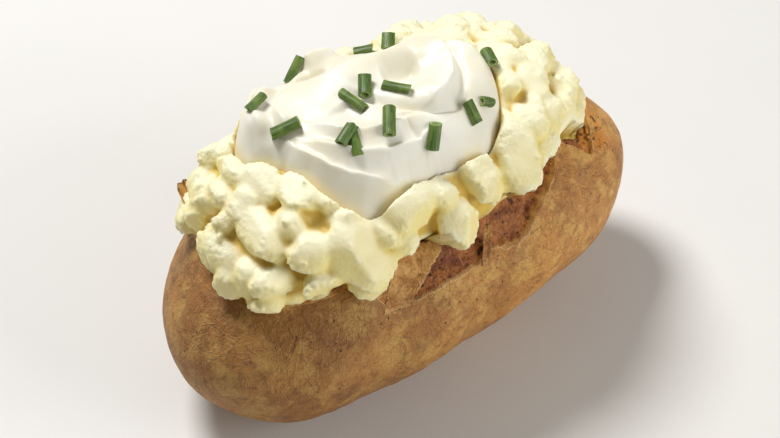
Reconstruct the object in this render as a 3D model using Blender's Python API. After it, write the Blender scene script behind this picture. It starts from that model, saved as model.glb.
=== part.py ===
"""A baked potato: the skin torn open along the top, the fluffed flesh heaped
out of it, and a spoonful of sour cream with cut chives.

Metres, +Z up. +X runs along the potato, -Y is its front, and the origin is
on the small flat spot that it rests on.
"""
import math

import bmesh
import bpy
import numpy as np
from mathutils import Matrix, Vector, noise

# The whole potato before it was opened
LENGTH = 0.150
WIDTH = 0.0803
HEIGHT = 0.0652
TAPER_POWER = 2.53
GIRTH = (0.990, -0.030, 0.043, -0.070, -0.092)  # powers of the share of the length
BOW = 0.007
RISE = 0.0027
SETTLE = 0.0008
BULGE_AT, BULGE_SPREAD, BULGE = -0.62, 0.20, 0.022
UNEVEN = 0.0006

# The skin, and the dry layer that shows where the skin has torn off
SKIN = 0.0016
STEP = 0.0013
GAP = 0.0003
ROOM_GROWTH = 1.5
SKIN_ROWS = 54
UNDER_COLUMNS = 18
BAND_COLUMNS = 3
EDGE_ANGLE = 0.9  # degrees short of a tear, where the step down starts
JUST_PAST_TEAR = 0.003
FULL_STEP_BAND, FULL_STEP_OPENING = 8, 10  # degrees: narrower than this, the step is less

# Tears: (distance along the potato, angle round it from straight below)
FRONT_TEAR = (
    (-0.0620, 180), (-0.0600, 172), (-0.0582, 161), (-0.0545, 149), (-0.0465, 141),
    (-0.0366, 137), (-0.0310, 131), (-0.0285, 122), (-0.0268, 116), (-0.0110, 115),
    (0.0031, 114), (0.0072, 119), (0.0100, 117), (0.0136, 112), (0.0186, 113),
    (0.0216, 116), (0.0263, 123), (0.0338, 131), (0.0400, 142), (0.0430, 147),
    (0.0476, 141), (0.0510, 134), (0.0535, 131), (0.0556, 139), (0.0595, 155),
    (0.0640, 170), (0.0670, 180),
)
FRONT_LIP = (
    (-0.0620, 180), (-0.0595, 171), (-0.0540, 152), (-0.0460, 143), (-0.0366, 140),
    (-0.0290, 137), (-0.0150, 136), (0.0100, 137), (0.0280, 137), (0.0360, 140),
    (0.0430, 151), (0.0480, 147), (0.0530, 143), (0.0595, 160), (0.0640, 173),
    (0.0670, 180),
)
BACK_TEAR = (
    (-0.0620, 180), (-0.0600, 168), (-0.0570, 150), (-0.0530, 134), (-0.0450, 124),
    (-0.0300, 119), (-0.0100, 122), (0.0120, 118), (0.0300, 123), (0.0450, 130),
    (0.0570, 146), (0.0630, 164), (0.0670, 180),
)
BACK_BAND = 9  # degrees from the back tear to its lip
BACK_FLAPS = (  # place along, half width, height, lean outward
    (-0.0515, 0.0075, 0.0105, 0.0025),
    (0.0120, 0.0105, 0.0190, 0.0010),
)

# The heap of flesh: half sizes of a rounded dome that its lumps reach
DOME_AT = Vector((-0.003, -0.0015, 0.044))
DOME_LONG = 0.061
DOME_WIDE = 0.0365
DOME_HIGH = 0.0455
DOME_TILT = 1.2  # the top rises toward +X
DOME_POWER = 2.5
CORE_INSET = 0.0050
CORE_TUCK = 0.28  # how much the core draws in below the lumps, toward the skin's lips
TUCK_FROM, TUCK_OVER = 50, 35  # degrees from the top
CORE_FLATTENED = 0.55  # how much shallower its hidden lower half is
FILL_INSET = 0.0024
FLESH_SHARE_KEPT = 0.24

# Lumps that are told apart: place along, angle from the top, lift of the outer
# face, then width, length down the slope and thickness, all in millimetres
LUMPS = (
    (-43, 0, 0.5, 11, 13, 9), (-38, 17, 0.0, 12, 12, 8), (-35, 27, -1.0, 6, 6, 5),
    (-46, -17, 1.0, 7, 14, 8), (-44, -39, 2.0, 9, 9, 7), (-52, -42, 1.5, 8, 11, 7),
    (-57, -15, 0.5, 7, 10, 6), (-59, 11, 1.0, 9, 11, 6), (-51, 22, 1.0, 12, 15, 10),
    (-43, 40, 0.5, 13, 14, 10), (-53, 46, 1.0, 14, 8, 8), (-43, 57, 1.0, 14, 7, 8),
    (-30, 53, 1.5, 18, 20, 11), (-28, 68, 1.0, 11, 13, 9), (-14, 44, 1.0, 14, 16, 9),
    (-13, 60, 0.5, 8, 9, 7), (-3, 61, 1.5, 13, 16, 10), (7, 45, 1.0, 12, 14, 9),
    (20, 45, 1.5, 13, 20, 10), (11, 60, 0.0, 8, 9, 6), (16, 63, 0.0, 7, 8, 6),
    (29, 36, 0.5, 10, 11, 8), (36, 23, 0.5, 10, 10, 8), (38, 34, 0.5, 9, 10, 8),
    (35, 9, 0.5, 9, 9, 8), (40, -5, 1.0, 8, 8, 7), (42, 47, 0.5, 8, 8, 7),
    (46, 60, -1.0, 7, 7, 6), (30, -19, 1.0, 10, 9, 8), (38, -22, 1.5, 8, 8, 7),
    (45, -12, 2.0, 8, 8, 7), (49, 6, 2.5, 8, 9, 7), (52, 24, 2.0, 8, 9, 7),
    (55, 45, 2.0, 8, 9, 6), (-33, 37, 0.0, 9, 10, 8), (-23, 48, 0.0, 9, 10, 8),
    (-6, 45, 0.0, 9, 10, 8), (-50, 2, 0.0, 9, 9, 8), (-44, 26, -0.5, 9, 9, 8),
    (-57, 38, 0.0, 8, 9, 6), (28, 58, 0.0, 8, 9, 7), (14, -24, 1.0, 11, 8, 8),
    (22, -33, 1.0, 11, 10, 8), (2, -36, 0.5, 10, 10, 8), (-14, -42, 0.5, 12, 10, 8),
    (-28, -50, 0.5, 12, 12, 8), (25, -13, 0.5, 11, 10, 8), (43, 12, 1.0, 9, 10, 8),
    (46, 30, 0.5, 9, 10, 8), (31, -38, 0.5, 11, 11, 8), (42, -40, 0.5, 11, 11, 8),
    (52, -12, 1.0, 9, 9, 8), (55, 8, 0.5, 8, 9, 7), (51, -36, 0.5, 9, 10, 8),
    (-57, -36, 0.5, 8, 10, 7), (-18, 62, 0.0, 11, 11, 8), (23, 66, 0.0, 11, 10, 8),
)
LUMP_SCALE = 1.2
HANGING_LUMP_AT = Vector((-0.0565, -0.0205, 0.0535))  # it hangs over the front lip
HANGING_LUMP_OUTWARD = Vector((-0.35, -0.55, 0.76)).normalized()
HANGING_LUMP_HALF = (0.0060, 0.0046, 0.0050)
CRAGGINESS, CRAG_PITCH = 0.22, 1.3  # share of a lump's size, and noise per half size
LUMP_ROWS = (  # angle from the top, how many, first and last place, in millimetres
    (-58, 9, -52, 54), (-76, 9, -48, 50),
)
ROW_LUMP = (12, 12, 9)
ROW_SWAY = 5  # degrees to either side

# The sour cream: its edge as (angle, reach in millimetres) about its middle
CREAM_AT = (-0.008, -0.005)
CREAM_EDGE = (
    (0, 35.6), (8, 33.5), (16, 28.5), (28, 29.0), (40, 22.0), (50, 19.5), (62, 20.0),
    (73, 22.0), (90, 26.0), (103, 31.0), (119, 35.5), (131, 38.3), (148, 38.4),
    (162, 37.4), (168, 35.0), (175, 31.0), (190, 28.3), (200, 28.0), (209, 28.8),
    (224, 30.3), (236, 29.0), (242, 27.0), (256, 24.0), (269, 22.8), (278, 22.8),
    (285, 24.0), (294, 26.2), (302, 28.9), (315, 31.5), (329, 33.2), (348, 33.7),
)
CREAM_THICK = 0.0076
CREAM_SINK = 0.0012
CREAM_COLUMNS = 44
CREAM_ROWS = 22
CREAM_STROKES = (  # ends of each ridge, half width and height, in millimetres
    ((-17, 11), (2, 9), 6.0, 2.0),
    ((2, 9), (16, 6), 7.0, 3.6),
    ((25, -2), (20, -17), 5.5, 2.4),
    ((-31, 16), (-22, 2), 6.5, 2.2),
    ((-30, -12), (-12, -20), 5.0, 1.6),
    ((-12, -20), (9, -21), 5.0, 1.4),
)

# Chives: x, y, heading and tilt off the surface in degrees, length, width (mm)
CREAM_CHIVES = (
    (-31.1, 4.9, -20, 0, 8.2, 3.4), (-31.0, 15.5, 20, 0, 6.2, 2.4),
    (-21.5, 21.5, 44, 20, 7.6, 2.5), (-7.2, 1.6, 53, 0, 6.6, 3.4),
    (-1.7, -4.7, -53, 0, 7.4, 2.7), (-13.4, -1.4, -80, 0, 7.6, 2.7),
    (-10.5, -13.1, 52, 0, 7.6, 3.4), (-21.7, -9.2, 23, 0, 6.2, 3.2),
    (-21.4, -12.6, 66, 0, 8.2, 2.7), (-1.9, -20.4, 43, 0, 7.4, 3.4),
    (12.0, -19.0, 85, 0, 6.4, 3.0), (17.9, -17.5, -20, 0, 3.4, 2.8),
)
FLESH_CHIVES = (
    (3.5, 20.0, -40, 0, 5.0, 3.0), (11.5, 17.5, 75, 0, 5.0, 3.2),
    (32.5, -7.0, 70, 0, 5.0, 3.0),
)
FLESH_CHIVE_INSET = 0.0010
CHIVE_SIDES = 8
CHIVE_LIFT = 0.22  # how much of its width a chive's middle lies above the surface
MM = 0.001


def clear_scene():
    for old in list(bpy.data.objects):
        bpy.data.objects.remove(old, do_unlink=True)


def material(name, colour, roughness):
    made = bpy.data.materials.new(name)
    made.use_nodes = True
    shader = made.node_tree.nodes["Principled BSDF"]
    shader.inputs["Base Color"].default_value = (*colour, 1)
    shader.inputs["Roughness"].default_value = roughness
    shader.inputs["Metallic"].default_value = 0
    return made


def new_object(name, bm):
    """An object that holds the finished mesh, with its faces turned outward."""
    bmesh.ops.recalc_face_normals(bm, faces=bm.faces)
    mesh = bpy.data.meshes.new(name)
    bm.to_mesh(mesh)
    bm.free()
    made = bpy.data.objects.new(name, mesh)
    bpy.context.scene.collection.objects.link(made)
    return made


def along(points, place):
    """The value at this place of a line given by (place, value) points."""
    places, values = zip(*points)
    return float(np.interp(place, places, values))


def body_point(share, angle, depth):
    """A point of the potato: share is -1 to 1 along it, the angle in degrees
    starts underneath and grows toward the front, depth is measured inward."""
    turn = math.radians(angle)
    floor = max(depth, 0)  # the flat spot underneath
    taper = max(1 - abs(share) ** TAPER_POWER, 0) ** 0.5
    girth = sum(g * share**power for power, g in enumerate(GIRTH))
    girth += BULGE * math.exp(-(((share - BULGE_AT) / BULGE_SPREAD) ** 2))
    waves = math.sin(2 * turn + 9 * share) + math.sin(3 * turn - 13 * share + 1)
    depth -= UNEVEN * taper * waves
    half_width = (WIDTH / 2 - depth) * taper * girth
    half_height = (HEIGHT / 2 - depth) * taper * (1 + girth) / 2
    x = share * (LENGTH / 2 - depth / 2)
    y = -BOW * share**2 - half_width * math.sin(turn)
    z = HEIGHT / 2 + RISE * share - SETTLE - half_height * math.cos(turn)
    return Vector((x, y, max(z, floor)))


def skin_angles(place, grow):
    """The angles round the potato of one row of the skin, from the back lip
    underneath to the front lip, each with how far it lies toward its lip."""
    front = along(FRONT_TEAR, place)
    front_lip = max(along(FRONT_LIP, place), front)
    back = along(BACK_TEAR, place)
    back_lip = min(back + BACK_BAND, 180)
    if front < 180:
        front_lip = min(front_lip + grow, 180)
        back_lip = min(back_lip + grow, 180)
    row = []
    for k in range(BAND_COLUMNS, -1, -1):
        share = k / BAND_COLUMNS
        row.append((-(back + (back_lip - back) * share), -share))
    first, last = -(back - EDGE_ANGLE), front - EDGE_ANGLE
    for k in range(UNDER_COLUMNS + 1):
        row.append((first + (last - first) * k / UNDER_COLUMNS, 0))
    for k in range(BAND_COLUMNS + 1):
        share = k / BAND_COLUMNS
        row.append((front + (front_lip - front) * share, max(share, JUST_PAST_TEAR)))
    return row


def flap_at(place):
    """How far up and outward the back lip stands at this place."""
    up = out = 0
    for middle, half, height, lean in BACK_FLAPS:
        near = max(1 - ((place - middle) / half) ** 2, 0)
        up += height * near
        out += lean * near
    return up, out


def skin_point(share, column, depth, grow):
    place = share * LENGTH / 2
    angle, toward_lip = skin_angles(place, grow)[column]
    opened = 180 - along(FRONT_TEAR, place)
    if toward_lip > 0:
        band = along(FRONT_LIP, place) - along(FRONT_TEAR, place)
        depth += STEP * min(max(band, 0) / FULL_STEP_BAND, 1) * min(opened / FULL_STEP_OPENING, 1)
    point = body_point(share, angle, depth)
    if toward_lip < 0 and opened > 0:
        up, out = flap_at(place)
        point += Vector((0, out, up)) * abs(toward_lip)
    return point


def skin_sheet(bm, depth, grow):
    """One face of the skin: a grid wrapped round the potato, open along the top."""
    columns = len(skin_angles(0, 0)) - 1
    sheet = bmesh.ops.create_grid(bm, x_segments=SKIN_ROWS, y_segments=columns, size=1)
    verts = sheet["verts"]
    for vert in verts:
        share = math.sin(vert.co.x * math.pi / 2)
        column = round((vert.co.y + 1) / 2 * columns)
        vert.co = skin_point(share, column, depth, grow)
    bmesh.ops.remove_doubles(bm, verts=verts, dist=0.00002)


def skin_object(name, outer, inner, grow):
    """A closed shell between two depths, its two lips closed off."""
    bm = bmesh.new()
    skin_sheet(bm, outer, grow)
    skin_sheet(bm, inner, grow)
    rims = [edge for edge in bm.edges if edge.is_boundary]
    bmesh.ops.bridge_loops(bm, edges=rims)
    bmesh.ops.triangulate(bm, faces=bm.faces)
    return new_object(name, bm)


def dome_point(place, angle, inset):
    """A point of the heap's dome: angle in degrees from the top to the front."""
    turn = math.radians(angle)
    x = place - DOME_AT.x
    wide = abs(math.sin(turn) / (DOME_WIDE - inset)) ** DOME_POWER
    high = DOME_HIGH * (1 + DOME_TILT * place) - inset
    tall = abs(math.cos(turn) / high) ** DOME_POWER
    left = max(1 - abs(x / (DOME_LONG - inset)) ** DOME_POWER, 0)
    reach = (left / (wide + tall)) ** (1 / DOME_POWER)
    return DOME_AT + Vector((x, -reach * math.sin(turn), reach * math.cos(turn)))


def dome_height(x, y, inset):
    """The dome's height above a point of the plan."""
    across = abs((x - DOME_AT.x) / (DOME_LONG - inset)) ** DOME_POWER
    across += abs((y - DOME_AT.y) / (DOME_WIDE - inset)) ** DOME_POWER
    high = DOME_HIGH * (1 + DOME_TILT * x) - inset
    return DOME_AT.z + high * max(1 - across, 0) ** (1 / DOME_POWER)


def ball(subdivisions):
    bm = bmesh.new()
    bmesh.ops.create_icosphere(bm, subdivisions=subdivisions, radius=1)
    return bm


def lump(at, outward, half, seed):
    """A blunt crag of flesh whose third half size points outward."""
    bm = ball(2)
    side = Vector((1, 0, 0))
    side = (side - outward * side.dot(outward)).normalized()
    down = outward.cross(side)
    for vert in bm.verts:
        crag = 1 + CRAGGINESS * noise.noise(vert.co * CRAG_PITCH + Vector((seed, 0.7, 0.1)))
        spot = vert.co * crag
        vert.co = at + side * spot.x * half[0] + down * spot.y * half[1]
        vert.co += outward * spot.z * half[2]
    return new_object(f"lump_{seed}", bm)


def lumps_of_heap():
    made = []
    rows = list(LUMPS)
    for angle, count, start, end in LUMP_ROWS:
        for k in range(count):
            place = start + (end - start) * (k + 0.5) / count
            rows.append((place, angle + ROW_SWAY * (-1) ** k, 0, *ROW_LUMP))
    for number, (place, angle, lift, wide, long, thick) in enumerate(rows):
        top = dome_point(place * MM, angle, 0)
        beyond = dome_point(place * MM, angle, -MM)
        outward = (beyond - top).normalized()
        centre = top + outward * (lift - thick * LUMP_SCALE / 2) * MM
        half = [size * LUMP_SCALE / 2 * MM for size in (wide, long, thick)]
        made.append(lump(centre, outward, half, number + 1))
    made.append(lump(HANGING_LUMP_AT, HANGING_LUMP_OUTWARD, HANGING_LUMP_HALF, len(rows) + 1))
    return made


def filling():
    """The flesh inside the skin, clear of it all round."""
    bm = ball(4)
    for vert in bm.verts:
        share = vert.co.x
        angle = math.degrees(math.atan2(-vert.co.y, -vert.co.z))
        vert.co = body_point(share, angle, SKIN + FILL_INSET - GAP)
    return new_object("filling", bm)


def core_of_heap():
    bm = ball(4)
    for vert in bm.verts:
        place = DOME_AT.x + vert.co.x * (DOME_LONG - CORE_INSET)
        angle = math.degrees(math.atan2(-vert.co.y, vert.co.z))
        tuck = min(max((abs(angle) - TUCK_FROM) / TUCK_OVER, 0), 1)
        rim = dome_point(place, angle, CORE_INSET)
        vert.co = rim.lerp(Vector((rim.x, DOME_AT.y, DOME_AT.z)), CORE_TUCK * tuck)
        vert.co.z += max(DOME_AT.z - vert.co.z, 0) * CORE_FLATTENED
    return new_object("core", bm)


def joined(first, others):
    """Boolean union of an object with helpers, which are then removed."""
    helpers = bpy.data.collections.new("helpers")
    bpy.context.scene.collection.children.link(helpers)
    for other in others:
        bpy.context.scene.collection.objects.unlink(other)
        helpers.objects.link(other)
    union = first.modifiers.new("union", "BOOLEAN")
    union.operation = "UNION"
    union.operand_type = "COLLECTION"
    union.collection = helpers
    settle(first)
    for other in others:
        bpy.data.objects.remove(other, do_unlink=True)
    bpy.data.collections.remove(helpers)


def cut(first, cutter):
    """Boolean difference with a cutter, which is then removed."""
    difference = first.modifiers.new("cut", "BOOLEAN")
    difference.operation = "DIFFERENCE"
    difference.object = cutter
    difference.solver = "MANIFOLD"
    settle(first)
    bpy.data.objects.remove(cutter, do_unlink=True)


def room_for(made):
    """A copy grown a little beyond the gap all over, to cut a neighbour with."""
    room = made.copy()
    room.name = f"{made.name}_room"
    bpy.context.scene.collection.objects.link(room)
    growth = room.modifiers.new("growth", "DISPLACE")
    growth.mid_level = 0
    growth.strength = ROOM_GROWTH * GAP
    settle(room)
    return room


def settle(made):
    """Applies an object's modifiers."""
    bpy.context.view_layer.update()
    graph = bpy.context.evaluated_depsgraph_get()
    mesh = bpy.data.meshes.new_from_object(made.evaluated_get(graph))
    made.modifiers.clear()
    made.data = mesh
    mesh.name = made.name


def thin_out(made, share):
    """Keeps this share of the triangles, where the shape needs them most."""
    thinner = made.modifiers.new("thinner", "DECIMATE")
    thinner.ratio = share
    settle(made)


def keep_largest(made):
    """Drops the loose scraps that a cut leaves."""
    bm = bmesh.new()
    bm.from_mesh(made.data)
    bm.verts.ensure_lookup_table()
    seen = set()
    bodies = []
    for vert in bm.verts:
        if vert in seen:
            continue
        body = {vert}
        to_visit = [vert]
        while to_visit:
            for edge in to_visit.pop().link_edges:
                for near in edge.verts:
                    if near not in body:
                        body.add(near)
                        to_visit.append(near)
        seen |= body
        bodies.append(body)
    bodies.sort(key=len)
    for body in bodies[:-1]:
        bmesh.ops.delete(bm, geom=list(body), context="VERTS")
    bm.to_mesh(made.data)
    bm.free()


def cream_reach(turn):
    angles = [angle for angle, _ in CREAM_EDGE] + [360]
    reaches = [reach for _, reach in CREAM_EDGE] + [CREAM_EDGE[0][1]]
    return float(np.interp(math.degrees(turn) % 360, angles, reaches)) * MM


def stroke_height(x, y):
    """How far the swept ridges raise the cream at a point of the plan."""
    total = 0
    for start, end, wide, high in CREAM_STROKES:
        a = Vector(start) * MM
        b = Vector(end) * MM
        spot = Vector((x, y)) - a
        share = min(max(spot.dot(b - a) / (b - a).length_squared, 0), 1)
        away = (spot - (b - a) * share).length / (wide * MM)
        total = max(total, high * MM * math.exp(-away * away))
    return total


def cream_under(x, y):
    return dome_height(x, y, CORE_INSET) - CREAM_SINK


def cream_top(x, y):
    """The cream's height above a point of the plan, rounded off toward its edge."""
    away = Vector((x - CREAM_AT[0], y - CREAM_AT[1]))
    reach = cream_reach(math.atan2(away.y, away.x))
    rise = max(1 - (away.length / reach) ** 4, 0) ** 0.5
    under = cream_under(x, y)
    full = dome_height(x, y, CORE_INSET) + CREAM_THICK + stroke_height(x, y)
    return under + (full - under) * rise


def cream_object(name):
    """The cream: a ball flattened onto the heap, its edge drawn to the outline."""
    bm = bmesh.new()
    bmesh.ops.create_uvsphere(bm, u_segments=CREAM_COLUMNS, v_segments=CREAM_ROWS, radius=1)
    for vert in bm.verts:
        turn = math.atan2(vert.co.y, vert.co.x)
        out = math.hypot(vert.co.x, vert.co.y)
        reach = cream_reach(turn) * out
        x = CREAM_AT[0] + reach * math.cos(turn)
        y = CREAM_AT[1] + reach * math.sin(turn)
        z = cream_top(x, y) if vert.co.z > 0 else cream_under(x, y)
        vert.co = (x, y, z)
    return new_object(name, bm)


def chive(number, height, x, y, heading, tilt, length, width):
    """A cut length of chive lying on a surface, as a short round rod."""
    turn = math.radians(heading)
    ahead = Vector((math.cos(turn), math.sin(turn))) * length / 2
    climb = height(x + ahead.x, y + ahead.y) - height(x - ahead.x, y - ahead.y)
    slope = math.atan2(climb, length) + math.radians(tilt)
    raised = CHIVE_LIFT * width + abs(math.sin(math.radians(tilt))) * length / 4
    at = Vector((x, y, height(x, y) + raised))
    bm = bmesh.new()
    bmesh.ops.create_cone(
        bm, cap_ends=True, cap_tris=False, segments=CHIVE_SIDES,
        radius1=width / 2, radius2=width / 2, depth=length,
    )
    lie = Matrix.Rotation(turn, 4, "Z") @ Matrix.Rotation(math.pi / 2 - slope, 4, "Y")
    bmesh.ops.transform(bm, matrix=Matrix.Translation(at) @ lie, verts=bm.verts)
    return new_object(f"chive_{number}", bm)


def chives(rows, height):
    made = []
    for number, (x, y, heading, tilt, length, width) in enumerate(rows):
        made.append(chive(number, height, x * MM, y * MM, heading, tilt, length * MM, width * MM))
    return made


def finish(made, look):
    made.data.materials.clear()
    made.data.materials.append(look)
    made.data.shade_smooth()
    made.data.set_sharp_from_angle(angle=math.radians(40))


def build():
    clear_scene()
    jacket = skin_object("jacket", 0, SKIN, 0)

    cream = cream_object("sour_cream")
    joined(cream, chives(CREAM_CHIVES, cream_top))

    flesh = filling()
    flesh.name = "flesh"
    on_flesh = chives(FLESH_CHIVES, lambda x, y: dome_height(x, y, FLESH_CHIVE_INSET))
    joined(flesh, [core_of_heap(), *lumps_of_heap(), *on_flesh])
    thin_out(flesh, FLESH_SHARE_KEPT)
    cut(flesh, skin_object("skin_room", -GAP, SKIN + GAP, 0.6))
    cut(flesh, room_for(cream))
    keep_largest(flesh)

    finish(jacket, material("browned_skin", (0.243, 0.120, 0.048), 0.55))
    finish(flesh, material("potato_flesh", (0.83, 0.72, 0.40), 0.50))
    finish(cream, material("cream", (0.84, 0.80, 0.68), 0.35))


build()
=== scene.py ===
"""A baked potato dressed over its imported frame: the browned skin torn open along
the top, the fluffed flesh heaped out of it, the swept spoonful of sour cream,
and the cut chives. Metres, +Z up, in the frame's own place."""
import functools
import math

import bmesh
import bpy
import numpy as np
from mathutils import Matrix, Vector, noise

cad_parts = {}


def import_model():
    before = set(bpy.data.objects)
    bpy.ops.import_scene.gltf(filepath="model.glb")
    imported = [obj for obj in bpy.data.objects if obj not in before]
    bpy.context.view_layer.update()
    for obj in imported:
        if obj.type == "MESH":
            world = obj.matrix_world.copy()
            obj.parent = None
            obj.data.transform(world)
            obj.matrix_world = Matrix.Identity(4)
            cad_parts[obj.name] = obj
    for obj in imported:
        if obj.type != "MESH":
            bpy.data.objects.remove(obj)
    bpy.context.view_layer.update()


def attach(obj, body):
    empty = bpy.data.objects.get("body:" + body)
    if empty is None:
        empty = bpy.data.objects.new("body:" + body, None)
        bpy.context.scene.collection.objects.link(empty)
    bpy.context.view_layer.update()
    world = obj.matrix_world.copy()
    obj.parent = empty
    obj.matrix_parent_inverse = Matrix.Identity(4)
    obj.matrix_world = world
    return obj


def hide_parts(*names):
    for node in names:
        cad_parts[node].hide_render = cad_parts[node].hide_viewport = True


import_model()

MM = 0.001

# The whole potato before it was opened, as the frame's source has it
LENGTH = 0.150
WIDTH = 0.0803
HEIGHT = 0.0652
TAPER_POWER = 2.53
GIRTH = (0.990, -0.030, 0.043, -0.070, -0.092)
BOW = 0.007
RISE = 0.0027
SETTLE = 0.0008
BULGE_AT, BULGE_SPREAD, BULGE = -0.62, 0.20, 0.022
UNEVEN = 0.0006

# The skin and the dry layer inside its front tear
SKIN = 0.0016
STEP = 0.0013
FULL_STEP_BAND, FULL_STEP_OPENING = 8, 10
SKIN_ROWS = 380
UNDER_COLUMNS, UNDER_SHORT = 62, 4  # how many, and degrees that they stop short of the tears
EDGE_COLUMNS = (2.6, 1.2, 0.62, 0.32)  # degrees short of a tear
BACK_COLUMNS = 10
FRONT_COLUMNS = 18
TEAR_JAG = 0.8  # degrees
BEVEL = (  # place, degrees that the turned-in edge of the front tear spans
    (-0.060, 0.5), (0.010, 0.5), (0.014, 2.6), (0.018, 1.2), (0.028, 2.8), (0.036, 2.2),
    (0.041, 0.9), (0.0435, 0.5), (0.052, 0.5), (0.055, 2.4), (0.064, 1.6),
)
# The tan panel's right edge: its place at an angle, and how far that moves per degree
FOLD_AT, FOLD_ANGLE, FOLD_SLOPE = -0.0218, 115.5, 0.00100
PANEL_LIFTED = 0.75
DEEP_BAND = 0.0013
EDGE_CURL, CURL_WITHIN = 0.00035, 3.2  # height, and degrees from a tear
BROAD_WAVES, FINE_WAVES, CREASES, CRUMPLE = 0.00035, 0.00012, 0.00025, 0.0004
SKIN_VALUES = ("torn", "tan", "golden", "rim", "lining", "run_across", "run_up")
RUN_RADIUS = 0.036  # turns the skin's angles into lengths for its map
FRONT_TEAR = (
    (-0.0598, 180), (-0.0592, 172), (-0.0580, 161), (-0.0545, 149), (-0.0465, 141),
    (-0.0366, 137), (-0.0310, 131), (-0.0285, 122), (-0.0268, 116), (-0.0110, 115),
    (0.0031, 114), (0.0072, 119), (0.0100, 117), (0.0136, 112), (0.0186, 113),
    (0.0216, 116), (0.0263, 123), (0.0338, 131), (0.0400, 142), (0.0430, 147),
    (0.0476, 141), (0.0510, 134), (0.0535, 131), (0.0556, 139), (0.0595, 155),
    (0.0640, 170), (0.0670, 180),
)
FRONT_LIP = (
    (-0.0598, 180), (-0.0588, 171), (-0.0540, 152), (-0.0460, 143), (-0.0366, 140),
    (-0.0290, 137), (-0.0150, 136), (0.0100, 137), (0.0280, 137), (0.0360, 140),
    (0.0430, 151), (0.0480, 147), (0.0530, 143), (0.0595, 160), (0.0640, 173),
    (0.0670, 180),
)
BACK_TEAR = (
    (-0.0598, 180), (-0.0584, 168), (-0.0560, 150), (-0.0530, 134), (-0.0450, 124),
    (-0.0300, 119), (-0.0100, 122), (0.0120, 118), (0.0300, 123), (0.0450, 130),
    (0.0570, 146), (0.0630, 164), (0.0670, 180),
)
# Loose torn bits of skin: corners (place in millimetres, angle) from the low left one round,
# how far the right side stands off in millimetres, then how tan and how golden they are
TORN_BITS = (
    (((-30.5, 117.0), (-22.4, 115.5), (-3.5, 132.5), (-19.0, 143.0)), 1.1, 1.0, 0.0),
    (((3.4, 112.5), (5.4, 111.5), (10.4, 128.0), (8.4, 129.0)), 1.5, 0.6, 0.0),
    (((56.0, 129.0), (60.5, 131.0), (62.5, 143.0), (54.5, 142.5)), 0.7, 0.0, 1.0),
    (((55.5, 144.0), (62.5, 142.5), (61.5, 163.0), (58.5, 158.0)), 0.5, 0.0, 1.0),
)
BIT_CELLS = 44
BIT_THICK = 0.0003
BACK_BAND = 9  # degrees
BACK_FLAPS = (  # place along, half width, height, lean outward
    (-0.0515, 0.0085, 0.0090, 0.0045),
    (0.0120, 0.0105, 0.0190, 0.0010),
)

# The dome that the heap's chunks reach, and its core
DOME_AT = (-0.003, -0.0015, 0.044)
DOME_LONG = 0.061
DOME_WIDE = 0.0365
DOME_HIGH = 0.0455
DOME_TILT = 1.2
DOME_POWER = 2.5
CORE_INSET = 0.0050
CORE_DEEPER = -0.0014
CORE_FLOOR = 0.036
CORE_TUCK = 0.28
TUCK_FROM, TUCK_OVER = 50, 35  # degrees
HEAP_FOOT = 0.043
ROUGH_GRAIN = 0.0012
FLESH_GRAIN = 0.00059
FILLING_DEEPER = 0.0016

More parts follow.
